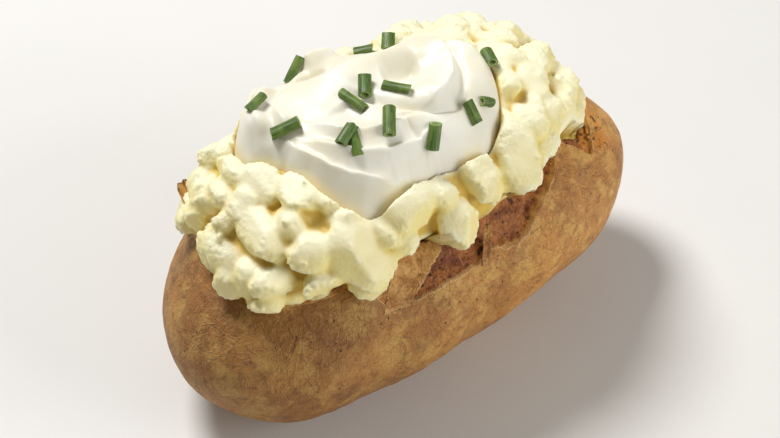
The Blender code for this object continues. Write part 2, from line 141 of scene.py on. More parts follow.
# Chunks that are told apart: place along, angle from the top, lift of the outer
# face, then width, length down the slope and thickness, all in millimetres
CHUNKS = (
    (-43, 0, 0.5, 11, 13, 9), (-38, 17, 0.0, 12, 12, 8), (-35, 27, -1.0, 6, 6, 5),
    (-46, -17, 1.0, 7, 14, 8), (-44, -39, 2.0, 9, 9, 7), (-49, -44, 1.0, 8, 11, 7),
    (-51, -15, 0.5, 8, 10, 6), (-59, 11, 1.0, 9, 11, 7), (-52, -30, -1.0, 9, 12, 8),
    (-58, -5, -0.5, 9, 10, 8), (-51, 22, 1.0, 12, 15, 10),
    (-43, 40, 0.5, 13, 14, 10), (-53, 46, 1.0, 14, 8, 8), (-43, 57, 1.0, 14, 7, 8),
    (-32, 51, 1.5, 18, 20, 11), (-32, 66, 1.0, 10, 11, 9), (-16, 42, 1.0, 14, 15, 9),
    (-19, 54, -0.5, 8, 9, 7), (-3, 60, 1.5, 13, 16, 10), (7, 45, 1.0, 12, 14, 9),
    (20, 45, 1.5, 13, 20, 10), (11, 53, -1.0, 8, 9, 6), (15, 53, -2.0, 6, 7, 5),
    (29, 36, 0.5, 10, 11, 8), (36, 23, 0.5, 10, 10, 8), (38, 34, 0.5, 9, 10, 8),
    (35, 9, 0.5, 9, 9, 8), (40, -5, 1.0, 8, 8, 7), (42, 42, 0.0, 7, 7, 6),
    (45, 53, -1.5, 6, 6, 5), (30, -19, 1.0, 10, 9, 8), (38, -22, 1.5, 8, 8, 7),
    (45, -12, 2.0, 8, 8, 7), (49, 6, 2.5, 8, 9, 7), (52, 24, 2.0, 8, 9, 7),
    (53, 34, 1.0, 8, 9, 6), (-33, 37, 0.0, 9, 10, 8), (-23, 48, 0.0, 9, 10, 8),
    (-6, 45, 0.0, 9, 10, 8), (-50, 2, 0.0, 9, 9, 8), (-44, 26, -0.5, 9, 9, 8),
    (-57, 38, 0.0, 8, 9, 6), (28, 50, -1.0, 7, 8, 6), (14, -24, 1.0, 11, 8, 8),
    (22, -33, 1.0, 11, 10, 8), (2, -36, 0.5, 10, 10, 8), (-14, -42, 0.5, 12, 10, 8),
    (-28, -50, 0.5, 12, 12, 8), (25, -13, 0.5, 11, 10, 8), (43, 12, 1.0, 9, 10, 8),
    (46, 30, 0.5, 9, 10, 8), (31, -38, 0.5, 11, 11, 8), (42, -40, 0.5, 11, 11, 8),
    (52, -12, 1.0, 9, 9, 8), (55, 8, 0.5, 8, 9, 7), (51, -36, 0.5, 9, 10, 8),
    (-51, -36, 0.5, 8, 10, 7), (-22, 56, -2.0, 9, 9, 7), (22, 52, -3.0, 8, 8, 6),
    (-54, -58, 0.0, 9, 9, 7), (-55, -38, -1.5, 8, 9, 7), (-49, -68, 0.5, 11, 10, 8),
    (56, -54, 0.0, 9, 10, 8), (58, -26, -1.0, 9, 9, 7), (50, -68, 0.5, 9, 9, 8),
    (57, 38, -1.5, 7, 9, 7), (59, 12, -1.0, 7, 9, 7),
)
CHUNK_SCALE = 1.12
# Chunks that hang over the skin at the left end: middle, way outward and half sizes,
# the first and last in millimetres
HANGING = (
    ((-56.5, -19.5, 55.0), (-0.35, -0.55, 0.76), (5.2, 4.2, 4.6)),
    ((-61.0, -8.5, 57.0), (-0.70, -0.35, 0.62), (4.2, 5.4, 4.6)),
    ((-58.5, 2.5, 60.0), (-0.80, 0.10, 0.60), (3.4, 4.6, 3.4)),
    ((-58.0, -14.5, 58.5), (-0.50, -0.45, 0.74), (4.2, 3.6, 3.6)),
)
FLESH_EDGE = (  # place, angle round the potato: the flesh stays above this line
    (-0.0330, 104), (-0.0315, 124), (-0.0260, 131), (-0.0204, 136), (-0.0175, 138),
    (-0.0086, 138), (-0.0060, 130), (-0.0032, 124), (0.0029, 121), (0.0096, 126),
    (0.0150, 133), (0.0249, 137), (0.0318, 142), (0.0400, 148), (0.0440, 151),
    (0.0500, 149), (0.0530, 148), (0.0590, 160), (0.0640, 172),
)
EDGE_SWAY = 2.5  # degrees
FACETS = 10
FACET_CRISPNESS = 24
CHUNK_FINENESS, FILLER_FINENESS, CRUMB_FINENESS = 5, 3, 2
BACK_ROWS = ((-58, 8, -42, 54), (-76, 8, -38, 50))  # angle, count, first and last place
BACK_CHUNK, BACK_STAGGER = (12, 12, 9), 5
# The smaller chunks: places, angles, sizes and lifts in millimetres and degrees. They lie
# low on the front as far right as its chunks are told apart, and are larger at the right
# and at the back
FILLER_COUNT = 250
FILLER_PLACES, FILLER_ANGLES, FILLER_SIZES = (-59, 56), (-82, 66), (2.2, 4.4)
FILLER_LIFTS, LOW_LIFTS, LARGER_LIFTS = (-1.8, 0.9), (-6.5, -4.0), (-1.9, -0.2)
FRONT_UP_TO, FRONT_FROM, LARGER = 27, 5, 1.5
RIGHT_FROM, BACK_FROM, BACK_UP_TO = 20, -10, -48
STEEP_FROM, STEEP_DROP = 50, 1.5
BARE_PLACE, BARE_ANGLE = -47, -12  # none lie both further left and further back than this
HANGING_SEED, FILLER_SEED, CRUMB_SEED, CHIVE_SEED = 900, 1000, 3000, 400
CRUMB_COUNT = 620
CRUMBS_ABOVE, CRUMBS_CLEAR = 0.050, 1.03  # height, and share of the way to the cream's edge
RIDGE_DEPTH, RAGGED_EDGE = 0.00016, 0.0006
CRUMBLE, FLUFF = 0.00022, 0.00030
SMALL_PIT, LARGE_PIT = 0.00045, 0.0016
SKIN_CLEARANCE = 0.0007
LEFT_END = -0.046
# How far out, as a share of the skin's radius, flesh is still drawn in under the skin
FRONT_DRAWN, BACK_DRAWN, EDGE_DRAWN = 1.03, 1.2, 1.5
PRESSED_FROM, PRESSED_ROUNDS = 0.0002, 8
# The flesh beside the cream: what shows of the cream's edge, how steeply the flesh may
# rise away from it, and the share of the way to the edge where it is free
EDGE_SHOWN, BESIDE_SLOPE, CLEAR_OF_CREAM = 0.0034, 0.060, 1.20

# The sour cream: its edge as (angle, reach in millimetres) about its middle
CREAM_AT = (-0.008, -0.005)
CREAM_EDGE = (
    (0, 37.0), (8, 35.0), (16, 31.0), (28, 29.5), (40, 23.5), (50, 21.5), (62, 22.5),
    (73, 25.5), (82, 28.5), (90, 30.5), (103, 33.0), (119, 35.5), (131, 38.6), (148, 38.8),
    (162, 36.8), (168, 32.8), (175, 30.0), (190, 28.3), (200, 29.0), (209, 29.2),
    (224, 29.0), (236, 26.8), (242, 25.0), (256, 22.2), (269, 21.3), (278, 21.3),
    (285, 22.3), (294, 24.3), (302, 26.9), (315, 30.6), (329, 33.3), (348, 35.6),
)
CREAM_THICK = 0.0074
CREAM_SINK = 0.0012
CREAM_COLUMNS, CREAM_ROWS = ((360, 190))
FRONT_ROUNDNESS, BACK_ROUNDNESS = 4.5, 9
CREAM_DEEPER, BED_POWER = 0.0015, 6
SWEEP_STRENGTH = 1.2

# The sweeps of the spoon: each a line in millimetres with its height, how far it
# spreads to the left and to the right of the way that it runs, and how sharp it is
CREAM_SWEEPS = (
    (((-17, 13), (-13.5, 9.5), (-7.4, 9.4), (-2, 7.8), (2.5, 6.0), (7.4, 5.2), (12, 5.4), (16, 5.1)),
     2.0, 1.2, 6.0, 1.0),
    (((16, 6), (16.8, 0.6), (16.6, -4.4), (14.4, -9.2), (11.9, -12.9), (7.7, -15.2),
      (2.5, -16.1), (-1.9, -15.3)), 3.6, 0.8, 5.0, 1.0),
    (((18.4, 2), (18.2, -4), (16.4, -9.6), (13.2, -14), (9.4, -17)), -2.0, 1.6, 1.4, 1.6),
    (((21, 4), (23.9, -4.6), (24.4, -9.1), (23, -14.3), (21.3, -18.8), (19.3, -22.5)),
     2.2, 3.2, 2.4, 1.5),
    (((-42, 6), (-38, 16), (-30, 21), (-25, 21)), 10.0, 6.0, 5.0, 2),
    (((-16, 20), (-9, 21), (-2.5, 21.5)), 7.0, 4.0, 3.2, 1.6),
    (((-27.2, 27.1), (-35, 19.7), (-39.6, 14.7), (-42.4, 8.8)), 1.6, 2.4, 2.0, 1.5),
    (((-16.7, 18.1), (-24.9, 13.7), (-31.4, 9.3), (-33.2, 0.3)), 2.4, 4.0, 1.3, 1.3),
    (((-35, 0), (-34.3, -5.7), (-31.3, -14.7), (-28, -19), (-24, -22.2), (-18.2, -25.4),
      (-11.1, -25.5), (-4, -24.5)), 3.0, 0.8, 2.4, 1.0),
    (((-30, -7), (-27, -13), (-22.5, -17.5), (-16, -20.5), (-8, -21.5), (0, -20.5)),
     2.7, 0.8, 2.6, 1.0),
    (((-27, -2), (-23.5, -8.5), (-18.5, -13), (-12, -15.5), (-5, -16)), 2.0, 0.7, 2.4, 1.0),
    (((-13.1, 0.5), (-9.9, -6.3), (-6.8, -10.9), (-3, -14.6), (2.1, -17.4), (7.8, -18.6),
      (14.4, -18.4)), -2.0, 1.5, 1.0, 1.2),
    (((-17, -1), (-16.5, -8)), -2.0, 4.5, 4.5, 2),
    (((-3, 0), (7, -4.0)), -3.8, 4.6, 5.0, 2),
    (((-7.2, -15.6), (-6.9, -18.2), (-6.2, -20.7), (-6.3, -23), (-7.6, -25.8)), -1.5, 0.8, 1.5, 1.2),
    (((-26.8, 21.8), (-32.6, 16.9), (-37.2, 12.9), (-40.6, 5.4)), -1.6, 1.0, 1.2, 1.5),
    (((-10, 13), (-18, 14.5), (-25, 17.5)), -1.8, 1.2, 1.1, 1.5),
)

# Chives: x, y, heading and tilt off the surface in degrees, length, width (mm)
CREAM_CHIVES = (
    (-33.6, 1.8, -25, 0, 8.2, 3.4), (-34.0, 14.3, 15, 0, 6.4, 2.4),
    (-17.5, 19.6, 20, 12, 8.0, 2.4), (-9.4, -1.2, 53, 0, 6.2, 3.4),
    (-3.3, -6.9, -55, 0, 7.6, 2.7), (-14.5, -2.7, -78, 0, 8.2, 2.7),
    (-12.7, -15.9, 52, 0, 7.8, 3.4), (-23.8, -12.2, 22, 0, 6.6, 3.2),
    (-22.9, -14.1, 69, 0, 8.6, 2.7), (-2.8, -22.5, 41, 0, 6.9, 3.4),
    (11.3, -21.3, 91, 0, 6.5, 3.0), (17.3, -19.9, -8, 0, 3.6, 2.8),
)
FLESH_CHIVES = (
    (2.8, 15.2, -40, 0, 5.0, 3.0), (9.4, 12.8, 50, 35, 5.0, 3.2),
    (28.0, -7.9, 70, 0, 5.0, 3.0),
)
FLESH_CHIVE_INSET = 0.0010
CHIVE_SIDES = 28
CHIVE_CUTS = (-0.3, -0.1, 0.1, 0.3)
CHIVE_LIFT = 0.34
CHIVE_WALL, CHIVE_HOLLOW = 0.2, 0.38
CHIVE_CREASE = 42  # degrees

# The camera, the lamps as place, size and power, and the light from all round
LOOK_AT = Vector((-0.0064, -0.0082, 0.0464))
CAMERA_TURN, CAMERA_RISE = -38, 44
CAMERA_AWAY = 0.75
CAMERA_LENS, CAMERA_NEAR = 125.4, 0.02
KEY_LAMP = ((-0.10, 0.50, 0.95), 0.38, 10.5)
FILL_LAMP = ((0.50, -0.92, 0.45), 0.8, 7.0)
ROUND_COLOUR, ROUND_STRENGTH = (1.0, 0.99, 0.96, 1), 0.19
FLOOR_HALF = 1.5


# Points on the forms

def along(points, place):
    """The value at each place of a line given by (place, value) points."""
    places, values = zip(*points)
    return np.interp(place, places, values)


def body_size(share, depth):
    """Half the potato's width and height at each share of its length."""
    taper = np.maximum(1 - np.abs(share) ** TAPER_POWER, 0) ** 0.5
    girth = sum(g * share**power for power, g in enumerate(GIRTH))
    girth = girth + BULGE * np.exp(-(((share - BULGE_AT) / BULGE_SPREAD) ** 2))
    wide = (WIDTH / 2 - depth) * taper * girth
    high = (HEIGHT / 2 - depth) * taper * (1 + girth) / 2
    return taper, wide, high


def body_points(share, angle, depth):
    """Points of the potato: share is -1 to 1 along it, the angle in degrees
    starts underneath and grows toward the front, depth is measured inward."""
    turn = np.radians(angle)
    lowest = np.maximum(depth, 0)
    taper, _, _ = body_size(share, 0)
    waves = np.sin(2 * turn + 9 * share) + np.sin(3 * turn - 13 * share + 1)
    depth = depth - UNEVEN * taper * waves
    _, wide, high = body_size(share, depth)
    x = share * (LENGTH / 2 - depth / 2)
    y = -BOW * share**2 - wide * np.sin(turn)
    z = HEIGHT / 2 + RISE * share - SETTLE - high * np.cos(turn)
    return np.stack((x, y, np.maximum(z, lowest)), -1)


def dome_points(place, angle, inset):
    """Points of the heap's dome: angle in degrees from the top to the front."""
    turn = np.radians(angle)
    x = place - DOME_AT[0]
    wide = np.abs(np.sin(turn) / (DOME_WIDE - inset)) ** DOME_POWER
    tall = np.abs(np.cos(turn) / (DOME_HIGH * (1 + DOME_TILT * place) - inset)) ** DOME_POWER
    left = np.maximum(1 - np.abs(x / (DOME_LONG - inset)) ** DOME_POWER, 0)
    reach = (left / (wide + tall)) ** (1 / DOME_POWER)
    offset = np.stack((x, -reach * np.sin(turn), reach * np.cos(turn)), -1)
    return np.array(DOME_AT) + offset


def dome_height(x, y, inset):
    """The dome's height above points of the plan."""
    across = np.abs((x - DOME_AT[0]) / (DOME_LONG - inset)) ** DOME_POWER
    across = across + np.abs((y - DOME_AT[1]) / (DOME_WIDE - inset)) ** DOME_POWER
    high = DOME_HIGH * (1 + DOME_TILT * x) - inset
    return DOME_AT[2] + high * np.maximum(1 - across, 0) ** (1 / DOME_POWER)


def dome_depth(spots):
    """How far points lie inside the dome, as a share of its size."""
    across = np.abs((spots[:, 0] - DOME_AT[0]) / DOME_LONG) ** DOME_POWER
    across += np.abs((spots[:, 1] - DOME_AT[1]) / DOME_WIDE) ** DOME_POWER
    high = DOME_HIGH * (1 + DOME_TILT * spots[:, 0])
    tall = np.abs((spots[:, 2] - DOME_AT[2]) / high) ** DOME_POWER
    return 1 - (across + tall) ** (1 / DOME_POWER)


def uneven(points, size, seed):
    """Smooth noise between -1 and 1 at each point, with bumps of this size."""
    shift = Vector((seed * 7.31, seed * 3.17, seed * 1.73))
    spots = (points / size).tolist()
    return np.array([noise.noise(Vector(spot) + shift) for spot in spots])


def jagged(place, size, seed):
    """Noise along a line, sharp at its turns, between -1 and 1."""
    spots = np.stack((place, np.zeros_like(place), np.zeros_like(place)), -1)
    fine = np.abs(uneven(spots, size, seed)) * 2 - 0.5
    return fine + 0.7 * uneven(spots, size * 2.7, seed + 1)


def smooth_step(value, low, high):
    """0 below low and 1 above high, with a soft change between."""
    share = np.clip((value - low) / (high - low), 0, 1)
    return share * share * (3 - 2 * share)


# Meshes

def new_piece(name, bm, look, node):
    """A finished piece that stands for a node of the frame."""
    mesh = bpy.data.meshes.new(name)
    bm.to_mesh(mesh)
    bm.free()
    return dress(bpy.data.objects.new(name, mesh), look, node)


def dress(piece, look, node):
    if piece.name not in bpy.context.scene.collection.objects:
        bpy.context.scene.collection.objects.link(piece)
    piece.data.materials.clear()
    piece.data.materials.append(look)
    piece.data.shade_smooth()
    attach(piece, "root")
    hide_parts(node)
    return piece


def place_verts(bm, verts, spots):
    """Puts the vertices at these spots, with every face turned outward."""
    for vert, spot in zip(verts, spots):
        vert.co = spot
    bmesh.ops.recalc_face_normals(bm, faces=bm.faces)


def spots_of(mesh):
    spots = np.empty(len(mesh.vertices) * 3, np.float32)
    mesh.vertices.foreach_get("co", spots)
    return spots.reshape(-1, 3).astype(float)


def move_spots(mesh, spots):
    mesh.vertices.foreach_set("co", spots.astype(np.float32).ravel())
    mesh.update()


def outward_of(mesh):
    normals = np.empty(len(mesh.vertices) * 3, np.float32)
    mesh.vertices.foreach_get("normal", normals)
    return normals.reshape(-1, 3).astype(float)


def keep_value(mesh, name, values):
    """Stores a number on each vertex for the material to read."""
    kept = mesh.attributes.new(name, "FLOAT", "POINT")
    kept.data.foreach_set("value", values.astype(np.float32))


def keep_map(mesh, name, across, up):
    """A UV map made of two numbers on each vertex."""
    corners = np.empty(len(mesh.loops), np.int32)
    mesh.loops.foreach_get("vertex_index", corners)
    places = np.stack((across[corners], up[corners]), -1)
    mesh.uv_layers.new(name=name).data.foreach_set("uv", places.astype(np.float32).ravel())


def settle(piece):
    """Applies an object's modifiers."""
    bpy.context.view_layer.update()
    graph = bpy.context.evaluated_depsgraph_get()
    mesh = bpy.data.meshes.new_from_object(piece.evaluated_get(graph))
    piece.modifiers.clear()
    old = piece.data
    piece.data = mesh
    bpy.data.meshes.remove(old)
    mesh.name = piece.name


def relaxed(mesh, spots, rounds):
    """The spots after each has moved to the middle of its neighbours, many times."""
    ends = np.empty(len(mesh.edges) * 2, np.int32)
    mesh.edges.foreach_get("vertices", ends)
    a, b = ends.reshape(-1, 2).T
    count = len(spots)
    near = np.bincount(a, minlength=count) + np.bincount(b, minlength=count)
    near = np.maximum(near, 1)
    for _ in range(rounds):
        total = np.stack(
            [
                np.bincount(a, spots[b, k], count) + np.bincount(b, spots[a, k], count)
                for k in range(spots.shape[1])
            ],
            -1,
        )
        spots = total / near[:, None]
    return spots


# Materials

class Value:
    """A socket of a material, so that its maths can be written out."""

    def __init__(self, look, socket):
        self.look = look
        self.socket = socket

    def __add__(self, other):
        return self.look.maths("ADD", self, other)

    def __radd__(self, other):
        return self.look.maths("ADD", other, self)

    def __sub__(self, other):
        return self.look.maths("SUBTRACT", self, other)

    def __rsub__(self, other):
        return self.look.maths("SUBTRACT", other, self)

    def __mul__(self, other):
        return self.look.maths("MULTIPLY", self, other)

    def __rmul__(self, other):
        return self.look.maths("MULTIPLY", other, self)

    def between(self, low, high):
        """0 below low and 1 above high, with a soft change from one to the other."""
        return self.look.node(
            "ShaderNodeMapRange", {"interpolation_type": "SMOOTHSTEP"},
            {"Value": self, "From Min": low, "From Max": high},
        )


class Look:
    """A material being made."""

    def __init__(self, name):
        self.material = bpy.data.materials.new(name)
        self.material.use_nodes = True
        self.tree = self.material.node_tree
        self.shader = self.tree.nodes["Principled BSDF"]

    def node(self, kind, settings=None, sockets=None, out=0):
        made = self.tree.nodes.new(kind)
        for name, setting in (settings or {}).items():
            setattr(made, name, setting)
        for name, value in (sockets or {}).items():
            self.put(made.inputs[name], value)
        return Value(self, made.outputs[out])

    def put(self, socket, value):
        if isinstance(value, Value):
            self.tree.links.new(value.socket, socket)
        else:
            socket.default_value = value

    def maths(self, operation, *values):
        return self.node("ShaderNodeMath", {"operation": operation}, dict(enumerate(values)))

    def place(self):
        return self.node("ShaderNodeTexCoord", out="Object")

    def kept(self, name):
        return self.node("ShaderNodeAttribute", {"attribute_name": name}, out="Fac")

    def noise(self, where, size, detail=2, roughness=0.5, shift=0.0, twist=0.0):
        """Soft noise whose bumps are of this size, in metres."""
        moved = self.node(
            "ShaderNodeVectorMath", {"operation": "MULTIPLY_ADD"},
            {0: where, 1: (1 / size,) * 3, 2: (shift, shift * 0.7, shift * 1.3)},
        )
        return self.node(
            "ShaderNodeTexNoise", None,
            {"Vector": moved, "Scale": 1.0, "Detail": detail, "Roughness": roughness,
             "Distortion": twist},
        )

    def cells(self, where, size, feature="F1", out="Distance"):
        return self.node(
            "ShaderNodeTexVoronoi", {"feature": feature},
            {"Vector": where, "Scale": 1 / size}, out=out,
        )

    def stretched(self, where, scale):
        return self.node("ShaderNodeVectorMath", {"operation": "MULTIPLY"}, {0: where, 1: scale})

    def blend(self, share, first, second):
        return self.node(
            "ShaderNodeMix", {"data_type": "RGBA", "clamp_factor": True},
            {0: share, 6: colour_of(first), 7: colour_of(second)}, out=2,
        )

    def shade(self, colour, amount):
        """The colour made lighter or darker by this amount."""
        return self.node(
            "ShaderNodeVectorMath", {"operation": "SCALE"}, {0: colour, "Scale": amount},
        )

    def bumps(self, height, depth, strength=1.0):
        return self.node(
            "ShaderNodeBump", None,
            {"Strength": strength, "Distance": depth, "Height": height}, out="Normal",
        )

    def finish(self, **sockets):
        for name, value in sockets.items():
            self.put(self.shader.inputs[name.replace("_", " ").title().replace("Ior", "IOR")], value)
        return self.material


def colour_of(value):
    """A colour given as 0 to 255 screen values, made ready for a socket."""
    if isinstance(value, Value):
        return value
    lit = [(v / 255 / 12.92) if v <= 10 else ((v / 255 + 0.055) / 1.055) ** 2.4 for v in value]
    return (*lit, 1)


def skin_look():
    look = Look("browned_skin")
    spot = look.place()
    run = look.node("ShaderNodeUVMap", {"uv_map": "around"})
    broad = look.noise(spot, 0.020, 3, 0.55, 3.0)
    patch = look.noise(spot, 0.0075, 4, 0.6, 11.0)
    blotch = look.noise(spot, 0.011, 3, 0.55, 23.0)
    mottle = look.noise(spot, 0.0028, 4, 0.65, 5.0, 0.4)
    grain = look.noise(spot, 0.0008, 3, 0.6, 17.0)
    streaks = look.noise(look.stretched(run, (60, 900, 1)), 1.0, 3, 0.6, 2.0)
    pores = look.cells(spot, 0.0026)
    pick = look.noise(spot, 0.0035, 1, 0.5, 31.0)
    pore = (1 - pores.between(0.07, 0.16)) * pick.between(0.52, 0.6)
    net = 1 - look.cells(spot, 0.0021, "DISTANCE_TO_EDGE").between(0.0, 0.09)

    speck = look.noise(spot, 0.00035, 2, 0.6, 53.0)
    colour = look.blend(broad.between(0.36, 0.66), (158, 102, 46), (186, 130, 62))
    colour = look.blend(patch.between(0.47, 0.64) * 0.60, colour, (204, 160, 84))
    colour = look.blend(blotch.between(0.54, 0.68) * 0.45, colour, (124, 80, 50))
    colour = look.blend(mottle.between(0.51, 0.68) * 0.62, colour, (116, 70, 30))
    colour = look.blend(mottle.between(0.30, 0.47) * -0.38 + 0.38, colour, (208, 170, 98))
    colour = look.blend(grain.between(0.48, 0.72) * 0.42, colour, (112, 74, 34))
    colour = look.blend(speck.between(0.50, 0.72) * 0.30, colour, (214, 178, 110))
    colour = look.blend(streaks.between(0.50, 0.80) * 0.10, colour, (214, 176, 112))
    colour = look.blend(net * grain.between(0.4, 0.6) * 0.10, colour, (214, 176, 112))
    colour = look.blend(pore * 0.8, colour, (70, 44, 24))
    # Painted shade and light: the skin darker toward its left end and lighter from the middle to the
    # right, as the light falls on it
    lengthwise = look.node("ShaderNodeSeparateXYZ", None, {"Vector": spot}, out="X")
    colour = look.shade(colour, 0.88 + lengthwise.between(-0.050, 0.030) * 0.34)

    torn = look.kept("torn")
    dried_tone_and_lit_top = look.noise(spot, 0.0042, 4, 0.65, 41.0)
    scorch = look.noise(spot, 0.0020, 3, 0.6, 47.0)
    fibre = look.noise(look.stretched(run, (1400, 260, 1)), 1.0, 3, 0.6, 7.0)
    # The torn band dark red-brown, the tan panel and turned-in edge buff: partly the dry layer's own
    # colours, partly painted shade in the recess under the skin's lip and painted light on the lifted
    # panel
    layer = look.blend(dried_tone_and_lit_top.between(0.36, 0.64), (120, 60, 24), (178, 112, 56))
    layer = look.blend(fibre.between(0.50, 0.74) * 0.45, layer, (206, 152, 90))
    layer = look.blend(look.kept("golden") * 0.85, layer, (214, 140, 52))
    layer = look.blend(scorch.between(0.54, 0.64) * 0.85, layer, (52, 26, 14))
    buff = look.blend(dried_tone_and_lit_top.between(0.36, 0.62), (168, 112, 52), (212, 164, 96))
    buff = look.blend(mottle.between(0.54, 0.70) * 0.6, buff, (126, 74, 32))
    layer = look.blend(look.kept("tan"), layer, buff)
    colour = look.blend(torn, colour, layer)
    lining = look.blend(dried_tone_and_lit_top.between(0.4, 0.62), (184, 128, 58), (216, 170, 100))
    lining = look.blend(scorch.between(0.60, 0.70) * 0.6, lining, (104, 62, 26))
    colour = look.blend(look.kept("lining"), colour, lining)
    colour = look.blend(look.kept("rim"), colour, (222, 180, 122))

    wrinkle = 1 - look.noise(spot, 0.0045, 3, 0.5, 61.0, 0.6).between(0.44, 0.52)
    height = mottle * 0.6 + grain * 0.5 + streaks * 0.35 + net * 0.25 - pore * 0.8 + wrinkle * 0.35
    return look.finish(
        base_color=colour,
        roughness=0.50 + mottle * 0.16,
        specular_ior_level=0.42,
        normal=look.bumps(height, 0.00060, 0.85),
    )


def flesh_look():
    look = Look("potato_flesh")
    spot = look.place()
    crevice_shade = look.kept("crevice_shade")
    fluffy = look.kept("fluffy")
    soft = look.noise(spot, 0.006, 3, 0.55, 4.0)
    small = look.noise(spot, 0.0016, 4, 0.65, 9.0)
    grain = look.noise(spot, 0.00055, 3, 0.6, 15.0)
    flakes = look.cells(spot, 0.0013)
    # Painted shade: the flesh a deeper, darker yellow in its crevices and pits, where shade falls, with
    # some random warmth besides
    warm = (crevice_shade * 0.9 + (soft - 0.5) * 0.8 + (small - 0.5) * 0.35 + 0.30).between(0.15, 1.05)
    colour = look.blend(warm, (242, 228, 156), (226, 202, 106))
    # Painted light: the flesh whiter where it faces up toward the lamps
    colour = look.blend(look.kept("dried_tone_and_lit_top") * 0.62, colour, (254, 251, 233))
    colour = look.blend(crevice_shade.between(0.16, 0.80) * 0.92, colour, (216, 182, 78))
    # Painted light: the crests of the chunks paler
    colour = look.blend(look.kept("crest_light") * 0.70, colour, (251, 245, 213))
    height = small * 0.5 + grain * 0.4 - flakes * 0.5
    return look.finish(
        base_color=colour,
        roughness=0.42 + small * 0.2,
        subsurface_weight=0.30,
        subsurface_radius=(0.90, 0.85, 0.48),
        subsurface_scale=0.0020,
        normal=look.bumps(height * (0.5 + fluffy), 0.00042, 0.8),
    )


def cream_look():
    look = Look("sour_cream")
    spot = look.place()
    soft = look.noise(spot, 0.012, 2, 0.5, 6.0)
    ripple = look.noise(spot, 0.0030, 2, 0.5, 13.0)
    grain = look.noise(spot, 0.0006, 2, 0.5, 19.0)
    colour = look.blend(soft.between(0.35, 0.65), (241, 238, 224), (238, 231, 208))
    return look.finish(
        base_color=colour,
        roughness=0.33 + ripple * 0.12,
        subsurface_weight=0.32,
        subsurface_radius=(1.0, 0.85, 0.6),
        subsurface_scale=0.0028,
        normal=look.bumps(ripple * 0.6 + grain * 0.12, 0.00025, 0.6),
    )


def chive_look():
    look = Look("chive_green")
    run = look.node("ShaderNodeUVMap", {"uv_map": "around"})
    spot = look.place()
    lines = look.noise(look.stretched(run, (26, 1.2, 1)), 1.0, 3, 0.6, 3.0)
    tone = look.noise(spot, 0.004, 2, 0.5, 8.0)
    colour = look.blend(lines.between(0.35, 0.68), (60, 84, 26), (100, 128, 46))
    colour = look.blend(tone.between(0.45, 0.7) * 0.45, colour, (132, 156, 66))
    colour = look.blend(look.kept("inside"), colour, (160, 180, 110))
    return look.finish(
        base_color=colour,
        roughness=0.36 + lines * 0.15,
        subsurface_weight=0.12,
        subsurface_radius=(0.4, 1.0, 0.25),
        subsurface_scale=0.0012,
        normal=look.bumps(lines, 0.00018, 0.7),
    )


def floor_look():
    look = Look("pale_floor")
    spot = look.place()
    colour = look.blend(look.noise(spot, 0.05, 2), (226, 224, 220), (230, 228, 224))
    return look.finish(base_color=colour, roughness=0.7)


# The skin

def skin_columns(front, front_lip, back, back_lip):
    """The skin's columns, from the back tear's lip round underneath to the front tear's:
    their angles, how far each lies toward its lip, and which are at a torn edge."""
    columns = []
    for k in range(BACK_COLUMNS, -1, -1):
        share = k / BACK_COLUMNS
        columns.append((-(back + (back_lip - back) * share), -share, k == 0))
    for short in reversed(EDGE_COLUMNS):
        columns.append((-(back - short), 0, short == EDGE_COLUMNS[-1]))
    first, last = -(back - UNDER_SHORT), front - UNDER_SHORT
    for k in range(UNDER_COLUMNS + 1):
        columns.append((first + (last - first) * k / UNDER_COLUMNS, 0, False))
    for short in EDGE_COLUMNS:
        columns.append((front - short, 0, short == EDGE_COLUMNS[-1]))
    for k in range(FRONT_COLUMNS + 1):
        share = k / FRONT_COLUMNS
        columns.append((front + (front_lip - front) * share, max(share, 0.001), k == 0))
    angles, toward, edge = zip(*columns)
    rows = len(front)
    return (
        np.stack(angles, -1),
        np.tile(np.array(toward), (rows, 1)),
        np.tile(np.array(edge, float), (rows, 1)),
    )


def skin_rows(share):
    """The skin's columns at each row, and the angles of the two tears there."""
    place = share * LENGTH / 2
    front = along(FRONT_TEAR, place)
    opened = 180 - front
    ragged = np.clip(opened / 12, 0, 1)
    rougher = 0.5 + 1.1 * smooth_step(place, 0.002, 0.008)
    front = front + TEAR_JAG * rougher * jagged(place, 0.0019, 2) * ragged
    front_lip = np.maximum(along(FRONT_LIP, place), front)
    back = along(BACK_TEAR, place) + TEAR_JAG * jagged(place, 0.0023, 5) * ragged
    back_lip = np.minimum(back + BACK_BAND * (1 + 0.3 * jagged(place, 0.003, 8) * ragged), 180)
    front, back = np.minimum(front, 180), np.minimum(back, 180)
    front_lip = np.minimum(front_lip + 1.2 * jagged(place, 0.002, 11) * ragged, 180)
    front_lip = np.maximum(front_lip, front)
    back_lip = np.maximum(back_lip, back)
    return *skin_columns(front, front_lip, back, back_lip), front, back


def raise_flaps(points, place, toward, opened):
    """Stands the flaps of skin up along the back tear."""
    toward_back = np.clip(-toward, 0, 1)
    ragged = 1 + 0.22 * jagged(place.ravel(), 0.0014, 21).reshape(place.shape)
    for middle, half, height, lean in BACK_FLAPS:
        near = np.clip(1 - ((place - middle) / half) ** 2, 0, 1) * np.where(opened > 0, 1, 0)
        points[..., 2] += height * near * toward_back * ragged
        points[..., 1] += lean * near * toward_back**2 * 2


